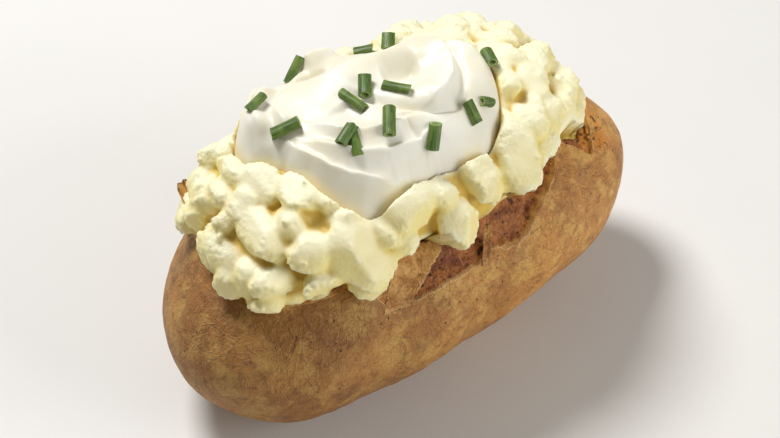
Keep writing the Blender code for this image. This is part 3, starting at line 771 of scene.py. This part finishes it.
def skin_sheet(bm, depth):
    """One face of the skin: a grid wrapped round the potato, open along the top."""
    share = np.sin(np.linspace(-1, 1, SKIN_ROWS + 1) * math.pi / 2)
    angles, toward, edge, front, back = skin_rows(share)
    shape = angles.shape
    columns = shape[1] - 1
    wide_share = np.repeat(share[:, None], columns + 1, 1)
    place = wide_share * LENGTH / 2
    at = body_points(wide_share, angles, 0).reshape(-1, 3)

    def waves(size, seed):
        return uneven(at, size, seed).reshape(shape)

    opened = np.clip((180 - front) / FULL_STEP_OPENING, 0, 1)[:, None]
    depths = depth - waves(0.011, 1) * BROAD_WAVES - waves(0.0035, 2) * FINE_WAVES
    depths = depths + np.abs(waves(0.006, 4)) * CREASES
    from_tear = np.minimum(np.abs(angles - front[:, None]), np.abs(angles + back[:, None]))
    curl = smooth_step(CURL_WITHIN - from_tear, 0, CURL_WITHIN) * (0.4 + waves(0.006, 6))
    depths = depths - np.where(toward == 0, EDGE_CURL * curl * opened, 0)

    band = np.clip((along(FRONT_LIP, place[:, 0]) - along(FRONT_TEAR, place[:, 0])), 0, None)
    step = STEP * np.clip(band / FULL_STEP_BAND, 0, 1)[:, None] * opened
    past = angles - front[:, None]
    bevel = along(BEVEL, place)
    turned_in = np.clip(past / bevel, 0, 1)
    panel = smooth_step(FOLD_AT + FOLD_SLOPE * (angles - FOLD_ANGLE) - place, -0.0004, 0.0022)
    panel = panel * smooth_step(-place, 0.004, 0.010)
    deeper = (1 - panel) * smooth_step(place, -0.024, -0.016) * smooth_step(0.050 - place, 0, 0.006)
    sunk = step * turned_in * (1 - PANEL_LIFTED * panel)
    sunk = sunk + DEEP_BAND * deeper * smooth_step(past, 0, 7) * opened
    crumpled = waves(0.0024, 7) * CRUMPLE * smooth_step(past, 0, 3)
    depths = depths + np.where(toward > 0, sunk, 0) + np.where(toward > 0.02, crumpled, 0)
    points = body_points(wide_share, angles, depths)
    raise_flaps(points, place, toward, opened)

    still_open = smooth_step((180 - front)[:, None], 1.5, 6)
    torn = np.where(toward > 0, 1, 0) * still_open
    on_bevel = np.where((bevel > 0.8) & (past > 0), 1 - smooth_step(past, bevel * 0.8, bevel * 1.1), 0)
    light_line = 0.35 + 0.65 * smooth_step(waves(0.005, 9), -0.25, 0.3)
    lining = np.full(shape, 1.0 if depth > 0 else 0.0)
    golden = np.maximum(smooth_step(place, 0.050, 0.053), smooth_step(-place, 0.029, 0.033))
    rim = edge * still_open * light_line * (1 - lining)
    run = np.radians(angles) * RUN_RADIUS
    kept = (torn, torn * np.maximum(panel, on_bevel), torn * golden, rim, lining, place, run)
    layers = bm.verts.layers.float
    for name in SKIN_VALUES:
        if name not in layers:
            layers.new(name)
    values = [(layers[name], numbers) for name, numbers in zip(SKIN_VALUES, kept)]
    sheet = bmesh.ops.create_grid(bm, x_segments=SKIN_ROWS, y_segments=columns, size=1)
    for vert in sheet["verts"]:
        spot = round((vert.co.x + 1) / 2 * SKIN_ROWS), round((vert.co.y + 1) / 2 * columns)
        vert.co = points[spot]
        for layer, numbers in values:
            vert[layer] = numbers[spot]
    bmesh.ops.remove_doubles(bm, verts=sheet["verts"], dist=0.00002)


def jacket(look):
    bm = bmesh.new()
    skin_sheet(bm, 0)
    skin_sheet(bm, SKIN)
    rims = [edge for edge in bm.edges if edge.is_boundary]
    bmesh.ops.bridge_loops(bm, edges=rims)
    bmesh.ops.triangulate(bm, faces=[face for face in bm.faces if len(face.verts) > 4])
    bmesh.ops.recalc_face_normals(bm, faces=bm.faces)
    piece = new_piece("skin", bm, look, "jacket")
    map_round(piece.data)


def torn_bits(look):
    """The thin torn pieces of skin that stand loose beside the front tear."""
    bm = bmesh.new()
    values = {name: bm.verts.layers.float.new(name) for name in SKIN_VALUES}
    for number, (corners, lift, tan, golden) in enumerate(TORN_BITS):
        sheet = bmesh.ops.create_grid(bm, x_segments=BIT_CELLS, y_segments=BIT_CELLS, size=1)["verts"]
        across, up = (np.array([vert.co for vert in sheet])[:, :2].T + 1) / 2
        frayed = 1 - 0.16 * np.abs(jagged(up, 0.10, 31 + number))
        across = 0.5 + (across - 0.5) * frayed
        up = 0.5 + (up - 0.5) * (1 - 0.14 * np.abs(jagged(across, 0.09, 41 + number)))
        low_left, low_right, high_right, high_left = np.array(corners, float)
        low = low_left + (low_right - low_left) * across[:, None]
        high = high_left + (high_right - high_left) * across[:, None]
        place, angle = (low + (high - low) * up[:, None]).T
        at = body_points(place * MM / (LENGTH / 2), angle, 0)
        raised = lift * MM * (0.35 + 0.65 * across**2) + 0.00035 * uneven(at, 0.0022, 33)
        spots = body_points(place * MM / (LENGTH / 2), angle, STEP * 0.2 - raised)
        from_edge = np.minimum(np.minimum(across, 1 - across), np.minimum(up, 1 - up))
        for k, vert in enumerate(sheet):
            vert.co = spots[k]
            vert[values["torn"]] = 1
            vert[values["tan"]] = tan
            vert[values["golden"]] = golden
            vert[values["rim"]] = 0.5 * (1 - min(from_edge[k] / 0.10, 1))
            vert[values["run_across"]] = place[k] * MM
            vert[values["run_up"]] = math.radians(angle[k]) * RUN_RADIUS
    bmesh.ops.recalc_face_normals(bm, faces=bm.faces)
    bmesh.ops.solidify(bm, geom=[*bm.verts, *bm.edges, *bm.faces], thickness=BIT_THICK)
    piece = new_piece("torn_skin", bm, look, "jacket")
    map_round(piece.data)


def map_round(mesh):
    """The map that the fine lines of the skin and of the chives follow."""
    across = np.empty(len(mesh.vertices), np.float32)
    up = np.empty(len(mesh.vertices), np.float32)
    mesh.attributes["run_across"].data.foreach_get("value", across)
    mesh.attributes["run_up"].data.foreach_get("value", up)
    keep_map(mesh, "around", across, up)


# The flesh

@functools.cache
def ball(fineness):
    """The vertices and faces of a round ball, made once for each fineness."""
    bm = bmesh.new()
    bmesh.ops.create_icosphere(bm, subdivisions=fineness, radius=1)
    spots = np.array([vert.co for vert in bm.verts])
    faces = np.array([[vert.index for vert in face.verts] for face in bm.faces])
    bm.free()
    return spots, faces


def chunk(at, outward, half, seed, fineness, roll=0.0):
    """A blunt chunk of flesh with soft facets, whose third half size points outward."""
    ways, faces = ball(fineness)
    draw = np.random.RandomState(seed)
    facing = draw.normal(size=(FACETS, 3))
    facing /= np.linalg.norm(facing, axis=1)[:, None]
    reach = draw.uniform(0.68, 1.0, FACETS)
    near = np.clip(ways @ facing.T, 0, None) / reach
    size = np.maximum((near**FACET_CRISPNESS).sum(1), 0.35) ** (-1 / FACET_CRISPNESS)
    size *= 1 + 0.07 * uneven(ways, 0.8, seed) + 0.02 * uneven(ways, 0.35, seed + 1)
    spots = ways * size[:, None] * 1.04
    outward = Vector(outward).normalized()
    side = Vector((math.cos(roll), math.sin(roll), 0))
    side = (side - outward * side.dot(outward)).normalized()
    down = outward.cross(side)
    turned = np.array((side, down, outward))
    return np.array(at) + (spots * np.array(half)) @ turned, faces


def dome_way(place, angle):
    """A point of the dome and the way outward from it."""
    top = dome_points(place, angle, 0)
    beyond = dome_points(place, angle, -MM)
    way = beyond - top
    return top, way / np.linalg.norm(way)


def under_cream(x, y):
    """How far points of the plan lie toward the cream's edge: 1 at the edge."""
    away_x, away_y = x - CREAM_AT[0], y - CREAM_AT[1]
    return np.hypot(away_x, away_y) / cream_reach(np.arctan2(away_y, away_x))


def heap_chunks():
    rows = list(CHUNKS)
    for angle, count, start, end in BACK_ROWS:
        for k in range(count):
            place = start + (end - start) * (k + 0.5) / count
            rows.append((place, angle + BACK_STAGGER * (-1) ** k, 0, *BACK_CHUNK))
    made = []
    for number, (middle, way, half) in enumerate(HANGING):
        at, half = np.array(middle) * MM, np.array(half) * MM
        made.append(chunk(at, way, half, HANGING_SEED + number, CHUNK_FINENESS))
    for number, (place, angle, lift, wide, long, thick) in enumerate(rows):
        top, way = dome_way(place * MM, angle)
        centre = top + way * (lift - thick * CHUNK_SCALE / 2) * MM
        half = np.array((wide, long, thick)) * CHUNK_SCALE / 2 * MM
        made.append(chunk(centre, way, half, number + 1, CHUNK_FINENESS))
    return made


def heap_fillers():
    """Smaller chunks all over, low on the front, where the big chunks are told apart,
    and none at the back of the left end."""
    draw = np.random.RandomState(7)
    made = []
    for number in range(FILLER_COUNT):
        place = draw.uniform(*FILLER_PLACES) * MM
        angle = draw.uniform(*FILLER_ANGLES)
        top, way = dome_way(place, angle)
        size = draw.uniform(*FILLER_SIZES)
        lift = draw.uniform(*FILLER_LIFTS)
        if place < FRONT_UP_TO * MM and angle > FRONT_FROM:
            lift = draw.uniform(*LOW_LIFTS)
        elif place > RIGHT_FROM * MM or (angle < BACK_FROM and place > BACK_UP_TO * MM):
            size *= LARGER
            lift = draw.uniform(*LARGER_LIFTS)
        if angle > STEEP_FROM:
            lift -= STEEP_DROP
        half = size * np.array((draw.uniform(0.8, 1.3), draw.uniform(0.8, 1.3), 0.9)) * MM
        turn = draw.uniform(0, 3.1)
        if place > BARE_PLACE * MM or angle > BARE_ANGLE:
            centre = top + way * (lift * MM - half[2] * 0.9)
            made.append(chunk(centre, way, half, FILLER_SEED + number, FILLER_FINENESS, turn))
    return made


def heap_core():
    ways, faces = ball(CHUNK_FINENESS)
    place = DOME_AT[0] + ways[:, 0] * (DOME_LONG - CORE_INSET - CORE_DEEPER)
    angle = np.degrees(np.arctan2(-ways[:, 1], ways[:, 2]))
    tuck = np.clip((np.abs(angle) - TUCK_FROM) / TUCK_OVER, 0, 1)[:, None]
    rim = dome_points(place, angle, CORE_INSET + CORE_DEEPER)
    middle = np.stack((rim[:, 0], np.full(len(rim), DOME_AT[1]), np.full(len(rim), DOME_AT[2])), -1)
    placed = rim + (middle - rim) * CORE_TUCK * tuck
    placed[:, 2] = np.maximum(placed[:, 2], CORE_FLOOR)
    return placed, faces


def heap_crumbs(rough_heap):
    """Crumbs and small flakes sitting on the heap's surface, few of them on its front."""
    spots = spots_of(rough_heap.data)
    ways = outward_of(rough_heap.data)
    draw = np.random.RandomState(11)
    covered = under_cream(spots[:, 0], spots[:, 1])
    free = np.flatnonzero((covered > CRUMBS_CLEAR) & (spots[:, 2] > CRUMBS_ABOVE))
    chosen = draw.choice(free, CRUMB_COUNT, replace=False)
    made = []
    for number, pick in enumerate(chosen):
        at, way = spots[pick], ways[pick]
        front = at[1] < -0.006 - 0.5 * (at[0] - 0.02) and at[0] < 0.032
        size = draw.uniform(0.6, 1.1 if front else 1.5)
        half = size * np.array((draw.uniform(0.8, 1.6), draw.uniform(0.6, 1.1), draw.uniform(0.7, 1.1)))
        lean = way + draw.normal(size=3) * 0.35
        kept = 0.05 if front else 0.22 + 0.70 * smooth_step(at[2], 0.078, 0.088)
        if draw.uniform() > kept:
            continue
        centre = at + way * draw.uniform(-0.3, 0.45) * MM
        turn = draw.uniform(0, 3.1)
        made.append(chunk(centre, lean, half * MM, CRUMB_SEED + number, CRUMB_FINENESS, turn))
    return made


def fused(balls, name, grain):
    """One closed skin round all these shaped balls."""
    starts = np.cumsum([0] + [len(spots) for spots, _ in balls])
    spots = np.concatenate([spots for spots, _ in balls])
    faces = np.concatenate([faces + start for (_, faces), start in zip(balls, starts)])
    mesh = bpy.data.meshes.new(name)
    mesh.from_pydata(spots, [], faces)
    piece = bpy.data.objects.new(name, mesh)
    bpy.context.scene.collection.objects.link(piece)
    skin = piece.modifiers.new("fuse", "REMESH")
    skin.mode = "VOXEL"
    skin.voxel_size = grain
    settle(piece)
    return piece


def inside_skin(spots):
    """Moves flesh that runs through the skin below its tears to just inside it."""
    share = np.clip(spots[:, 0] / (LENGTH / 2), -0.999, 0.999)
    _, wide, high = body_size(share, 0)
    y = spots[:, 1] + BOW * share**2
    z = spots[:, 2] - (HEIGHT / 2 + RISE * share - SETTLE)
    angle = np.degrees(np.arctan2(-y / wide, -z / high))
    away = np.hypot(y / wide, z / high)
    sway = EDGE_SWAY * uneven(spots, 0.004, 71)
    edge = np.where(angle > 0, along(FRONT_TEAR, spots[:, 0]), along(BACK_TEAR, spots[:, 0]))
    kept_up = (angle > 0) & (spots[:, 0] > FLESH_EDGE[0][0])
    edge = np.where(kept_up, along(FLESH_EDGE, spots[:, 0]) + sway, edge)
    allowed = 1 - (SKIN + STEP + SKIN_CLEARANCE) / np.minimum(wide, high)
    limit = np.where((angle > 0) | (spots[:, 0] < LEFT_END), FRONT_DRAWN, BACK_DRAWN)
    limit = np.where(kept_up, EDGE_DRAWN, limit)
    caught = (np.abs(angle) < edge) & (away > allowed) & (away < limit)
    scale = np.where(caught, allowed / np.maximum(away, 0.01), 1)
    moved = spots.copy()
    moved[:, 1] = y * scale - BOW * share**2
    moved[:, 2] = z * scale + (HEIGHT / 2 + RISE * share - SETTLE)
    return moved


def heap(look):
    """The heap: chunks fused into one piece, then roughened and fitted to the rest."""
    balls = [heap_core(), *heap_chunks(), *heap_fillers()]
    rough_heap = fused(balls, "rough_heap", ROUGH_GRAIN)
    balls += heap_crumbs(rough_heap)
    bpy.data.objects.remove(rough_heap, do_unlink=True)
    piece = fused(balls, "flesh_heap", FLESH_GRAIN)
    mesh = piece.data
    ways = outward_of(mesh)
    spots = filled_in(mesh, relaxed(mesh, spots_of(mesh), 1), ways)
    spots = crumbled(mesh, spots, ways)
    move_spots(mesh, held_in_place(mesh, spots))
    cut_foot(mesh)
    store_flesh_values(mesh)
    dress(piece, look, "flesh")


def filled_in(mesh, spots, ways):
    """The spots with the crevices between the chunks partly filled, their crests kept."""
    near = relaxed(mesh, spots, 2)
    hollow = ((near - spots) * ways).sum(1) > 0
    return np.where(hollow[:, None], near, spots)


def crumbled(mesh, spots, ways):
    """The spots roughened: ragged along the ridges, crumbly where the flesh is fluffy."""
    fluffy = fluffiness(spots)
    near = relaxed(mesh, spots, 7)
    ridge = np.clip(((spots - near) * ways).sum(1) / RIDGE_DEPTH - 0.5, 0, 1.2)
    ragged = uneven(spots, 0.0011, 61) + 0.6 * uneven(spots, 0.0021, 62)
    crumble = uneven(spots, 0.0030, 63) * CRUMBLE * (0.3 + fluffy)
    crumble = crumble + np.abs(uneven(spots, 0.0013, 64)) * FLUFF * fluffy
    return spots + ways * (crumble + ragged * ridge * RAGGED_EDGE)[:, None]


def held_in_place(mesh, spots):
    """The spots kept below the cream, clear of its edge, and inside the skin."""
    covered = under_cream(spots[:, 0], spots[:, 1])
    room = flesh_room(spots[:, 0], spots[:, 1], covered)
    spots[:, 2] = np.where(covered < CLEAR_OF_CREAM, np.minimum(spots[:, 2], room), spots[:, 2])
    held = inside_skin(spots)
    pressed = np.linalg.norm(held - spots, axis=1) > PRESSED_FROM
    return np.where(pressed[:, None], relaxed(mesh, held, PRESSED_ROUNDS), held)


def fluffiness(spots):
    """Where the flesh is fluffy: in patches, and more toward its top and right."""
    return smooth_step(
        uneven(spots, 0.013, 51) + 0.5 * smooth_step(spots[:, 0], 0.0, 0.03)
        + 0.5 * smooth_step(spots[:, 1], -0.01, 0.012), 0.0, 0.55,
    )


def flesh_room(x, y, covered):
    """The height that the flesh stays under, below the cream and beside its edge."""
    under = cream_under(x, y)
    inside = under + np.minimum(0.55 * (cream_top(x, y) - under), EDGE_SHOWN)
    nearer = 1 / np.maximum(covered, 1)
    edge_x = CREAM_AT[0] + (x - CREAM_AT[0]) * nearer
    edge_y = CREAM_AT[1] + (y - CREAM_AT[1]) * nearer
    clear = np.maximum(covered - 1, 0)
    beside = cream_under(edge_x, edge_y) + EDGE_SHOWN + clear * (1 + 3 * clear) * BESIDE_SLOPE
    return inside + (beside - inside) * smooth_step(covered, 0.97, 1.02)


def cut_foot(mesh):
    """Cuts off what lies deep inside the skin, and keeps the largest body."""
    bm = bmesh.new()
    bm.from_mesh(mesh)
    bmesh.ops.bisect_plane(
        bm, geom=[*bm.verts, *bm.edges, *bm.faces], plane_co=(0, 0, HEAP_FOOT),
        plane_no=(0, 0, 1), clear_inner=True,
    )
    bmesh.ops.holes_fill(bm, edges=[edge for edge in bm.edges if edge.is_boundary])
    keep_largest(bm)
    bmesh.ops.triangulate(bm, faces=[face for face in bm.faces if len(face.verts) > 4])
    bm.to_mesh(mesh)
    bm.free()


def keep_largest(bm):
    """Deletes every loose body but the largest."""
    seen = set()
    bodies = []
    for start in bm.verts:
        if start in seen:
            continue
        seen.add(start)
        body = [start]
        for vert in body:
            for edge in vert.link_edges:
                other = edge.other_vert(vert)
                if other not in seen:
                    seen.add(other)
                    body.append(other)
        bodies.append(body)
    bodies.sort(key=len)
    for body in bodies[:-1]:
        bmesh.ops.delete(bm, geom=body, context="VERTS")


def store_flesh_values(mesh):
    """Where the flesh lies in pits, for painted shade, where on crests and how far it faces up, for
    painted light, and where it is fluffy.
    """
    spots = spots_of(mesh)
    ways = outward_of(mesh)
    near = relaxed(mesh, spots, 12)
    wide = relaxed(mesh, near, 90)
    small_pit = ((near - spots) * ways).sum(1) / SMALL_PIT
    large_pit = ((wide - spots) * ways).sum(1) / LARGE_PIT
    # Painted shade: pits, and flesh deep inside the heap, are coloured a darker yellow
    deep = 5.0 * np.clip(dome_depth(spots) - 0.03, 0, 0.12)
    crevice_shade = np.clip(0.40 * small_pit + 0.55 * large_pit + deep, 0, 1.3)
    keep_value(mesh, "crevice_shade", relaxed(mesh, crevice_shade[:, None], 2)[:, 0])
    # Painted light: convex crests of the chunks, to be coloured paler
    keep_value(mesh, "crest_light", np.clip(-0.45 * small_pit - 0.25 * large_pit - 0.1, 0, 1))
    keep_value(mesh, "fluffy", fluffiness(spots))
    # Painted light: how far the flesh faces up, for its whiter tops
    keep_value(mesh, "dried_tone_and_lit_top", smooth_step(relaxed(mesh, ways, 8)[:, 2], 0.25, 0.95))


def filling(look):
    """The flesh inside the skin."""
    bm = bmesh.new()
    made = bmesh.ops.create_icosphere(bm, subdivisions=CHUNK_FINENESS, radius=1)["verts"]
    ways = np.array([vert.co for vert in made])
    angle = np.degrees(np.arctan2(-ways[:, 1], -ways[:, 2]))
    place_verts(bm, made, body_points(ways[:, 0], angle, SKIN + FILLING_DEEPER))
    mesh = new_piece("flesh_inside", bm, look, "flesh").data
    # Painted shade: the flesh inside the skin is darker yellow all over, as in the heap's crevices,
    # with no painted light
    for name, value in (("crevice_shade", 0.45), ("crest_light", 0.0), ("fluffy", 0.5), ("dried_tone_and_lit_top", 0.0)):
        keep_value(mesh, name, np.full(len(mesh.vertices), value))


# The sour cream

def cream_reach(turn):
    angles = [angle for angle, _ in CREAM_EDGE] + [360]
    reaches = [reach for _, reach in CREAM_EDGE] + [CREAM_EDGE[0][1]]
    return np.interp(np.degrees(turn) % 360, angles, reaches) * MM


def cream_under(x, y):
    return dome_height(x, y, CORE_INSET) - CREAM_SINK


def sweep_height(x, y):
    """How far the sweeps of the spoon raise the cream at points of the plan."""
    spots = np.stack((x, y), -1) / MM
    total = np.zeros(len(spots))
    for line, high, left, right, sharp in CREAM_SWEEPS:
        line = np.array(line, float)
        best = np.full(len(spots), 1e9)
        signed = np.zeros(len(spots))
        share_of = np.zeros(len(spots))
        lengths = np.linalg.norm(np.diff(line, axis=0), axis=1)
        run = np.concatenate(((0,), np.cumsum(lengths))) / lengths.sum()
        for k in range(len(line) - 1):
            a, b = line[k], line[k + 1]
            way = b - a
            share = np.clip(((spots - a) @ way) / (way @ way), 0, 1)
            off = spots - (a + share[:, None] * way)
            far = np.hypot(off[:, 0], off[:, 1])
            side = way[0] * off[:, 1] - way[1] * off[:, 0]
            nearer = far < best
            best = np.where(nearer, far, best)
            signed = np.where(nearer, side, signed)
            share_of = np.where(nearer, run[k] + (run[k + 1] - run[k]) * share, share_of)
        spread = np.where(signed > 0, left, right)
        ends = smooth_step(share_of, -0.05, 0.22) * smooth_step(1 - share_of, -0.05, 0.22)
        total += high * np.exp(-((best / spread) ** sharp)) * (0.25 + 0.75 * ends)
    return total * SWEEP_STRENGTH * MM


def cream_top(x, y):
    """The cream's height above points of the plan, rounded off toward its edge."""
    share = under_cream(x, y)
    roundness = FRONT_ROUNDNESS + (BACK_ROUNDNESS - FRONT_ROUNDNESS) * smooth_step(y, -0.022, -0.004)
    rise = np.maximum(1 - share**roundness, 0) ** 0.5
    under = cream_under(x, y)
    settled = 1 - 0.3 * smooth_step(share, 0.85, 1.0)
    full = dome_height(x, y, CORE_INSET) + CREAM_THICK + sweep_height(x, y) * settled
    return under + (full - under) * rise


def cream(look):
    """The cream: a ball flattened onto the heap, its edge drawn to the outline."""
    bm = bmesh.new()
    made = bmesh.ops.create_uvsphere(
        bm, u_segments=CREAM_COLUMNS, v_segments=CREAM_ROWS, radius=1,
    )["verts"]
    ways = np.array([vert.co for vert in made])
    turn = np.arctan2(ways[:, 1], ways[:, 0])
    out = np.hypot(ways[:, 0], ways[:, 1])
    reach = cream_reach(turn) * out
    x = CREAM_AT[0] + reach * np.cos(turn)
    y = CREAM_AT[1] + reach * np.sin(turn)
    under = cream_under(x, y) - CREAM_DEEPER * np.sqrt(np.maximum(1 - out**BED_POWER, 0))
    z = np.where(ways[:, 2] > 0, cream_top(x, y), under)
    place_verts(bm, made, np.stack((x, y, z), -1))
    mesh = new_piece("sour_cream_swept", bm, look, "sour_cream").data
    move_spots(mesh, relaxed(mesh, spots_of(mesh), 1))


# The chives

def chives(rows, height, look, node, first):
    """Cut chives lying on a surface of this height, numbered from the first."""
    for number, (x, y, heading, tilt, length, width) in enumerate(rows):
        bm = chive_tube(length * MM, width * MM, first + number)
        turn = math.radians(heading)
        ahead = np.array((math.cos(turn), math.sin(turn))) * length * MM / 2
        ends = height(
            np.array((x * MM - ahead[0], x * MM + ahead[0], x * MM)),
            np.array((y * MM - ahead[1], y * MM + ahead[1], y * MM)),
        )
        slope = math.atan2(ends[1] - ends[0], length * MM) + math.radians(tilt)
        bridged = (ends[0] + ends[1]) / 2
        middle = max(ends[2], bridged * 0.5 + ends[2] * 0.5)
        raised = CHIVE_LIFT * width * MM + abs(math.sin(math.radians(tilt))) * length * MM / 4
        at = Vector((x * MM, y * MM, middle + raised))
        lie = Matrix.Rotation(turn, 4, "Z") @ Matrix.Rotation(math.pi / 2 - slope, 4, "Y")
        bmesh.ops.transform(bm, matrix=Matrix.Translation(at) @ lie, verts=bm.verts)
        piece = new_piece(f"chive_{first + number}", bm, look, node)
        map_round(piece.data)
        piece.data.set_sharp_from_angle(angle=math.radians(CHIVE_CREASE))


def chive_tube(length, width, seed):
    """A cut length of chive, hollow at both ends, a little flat, bent and slanted."""
    bm = bmesh.new()
    inside, across, up = (bm.verts.layers.float.new(n) for n in ("inside", "run_across", "run_up"))
    bmesh.ops.create_cone(
        bm, cap_ends=True, cap_tris=False, segments=CHIVE_SIDES,
        radius1=width / 2, radius2=width / 2, depth=length,
    )
    for share in CHIVE_CUTS:
        bmesh.ops.bisect_plane(
            bm, geom=[*bm.verts, *bm.edges, *bm.faces], plane_co=(0, 0, share * length),
            plane_no=(0, 0, 1),
        )
    caps = [face for face in bm.faces if len(face.verts) > 4]
    bmesh.ops.inset_region(bm, faces=caps, thickness=width * CHIVE_WALL)
    caps = [face for face in bm.faces if len(face.verts) > 4]
    for cap in caps:
        inward = -cap.normal * length * CHIVE_HOLLOW
        deeper = bmesh.ops.extrude_discrete_faces(bm, faces=[cap])["faces"]
        bmesh.ops.translate(bm, vec=inward, verts=deeper[0].verts)
    draw = np.random.RandomState(CHIVE_SEED + seed)
    flat = draw.uniform(0.74, 0.95)
    bend = draw.uniform(-0.05, 0.05)
    slant = draw.uniform(-0.35, 0.35, 2)
    for vert in bm.verts:
        out = math.hypot(vert.co.x, vert.co.y)
        vert[inside] = 1 if out < width * 0.45 else 0
        vert[across] = math.atan2(vert.co.y, vert.co.x) / math.tau
        vert[up] = vert.co.z / length
        end = vert.co.z / length * 2
        vert.co.z += (slant[0] if end > 0 else slant[1]) * vert.co.x * abs(end) ** 6
        vert.co.y *= 1 / flat**0.5
        vert.co.x *= flat
        vert.co.x += bend * length * (end**2 - 0.5)
        wobble = 1 + 0.05 * noise.noise(Vector((vert.co.x / width, vert.co.y / width, end + seed)))
        vert.co.x *= wobble
        vert.co.y *= wobble
    bmesh.ops.recalc_face_normals(bm, faces=bm.faces)
    return bm


# The floor, light and camera

def floor(look):
    bm = bmesh.new()
    bmesh.ops.create_grid(bm, x_segments=2, y_segments=2, size=FLOOR_HALF)
    mesh = bpy.data.meshes.new("floor")
    bm.to_mesh(mesh)
    bm.free()
    made = bpy.data.objects.new("floor", mesh)
    bpy.context.scene.collection.objects.link(made)
    mesh.materials.append(look)


def lamp(name, at, size, power):
    light = bpy.data.lights.new(name, "AREA")
    light.shape = "DISK"
    light.size = size
    light.energy = power
    made = bpy.data.objects.new(name, light)
    made.location = at
    made.rotation_mode = "QUATERNION"
    made.rotation_quaternion = (LOOK_AT - Vector(at)).to_track_quat("-Z", "Y")
    bpy.context.scene.collection.objects.link(made)


def camera():
    turn, rise = math.radians(CAMERA_TURN), math.radians(CAMERA_RISE)
    back = Vector((
        math.sin(turn) * math.cos(rise), -math.cos(turn) * math.cos(rise), math.sin(rise),
    ))
    made = bpy.data.objects.new("camera", bpy.data.cameras.new("camera"))
    made.data.lens = CAMERA_LENS
    made.data.clip_start = CAMERA_NEAR
    made.location = LOOK_AT + back * CAMERA_AWAY
    made.rotation_mode = "QUATERNION"
    made.rotation_quaternion = (-back).to_track_quat("-Z", "Y")
    bpy.context.scene.collection.objects.link(made)
    bpy.context.scene.camera = made


def world():
    made = bpy.data.worlds.new("studio")
    made.use_nodes = True
    light = made.node_tree.nodes["Background"].inputs
    light["Color"].default_value = ROUND_COLOUR
    light["Strength"].default_value = ROUND_STRENGTH
    bpy.context.scene.world = made
    bpy.context.scene.view_settings.view_transform = "Standard"


def build():
    camera()
    world()
    lamp("key", *KEY_LAMP)
    lamp("fill", *FILL_LAMP)
    floor(floor_look())
    browned = skin_look()
    jacket(browned)
    torn_bits(browned)
    flesh = flesh_look()
    heap(flesh)
    filling(flesh)
    cream(cream_look())
    green = chive_look()
    chives(CREAM_CHIVES, cream_top, green, "sour_cream", 1)
    chives(FLESH_CHIVES, lambda x, y: dome_height(x, y, FLESH_CHIVE_INSET), green, "flesh",
           len(CREAM_CHIVES) + 1)


build()
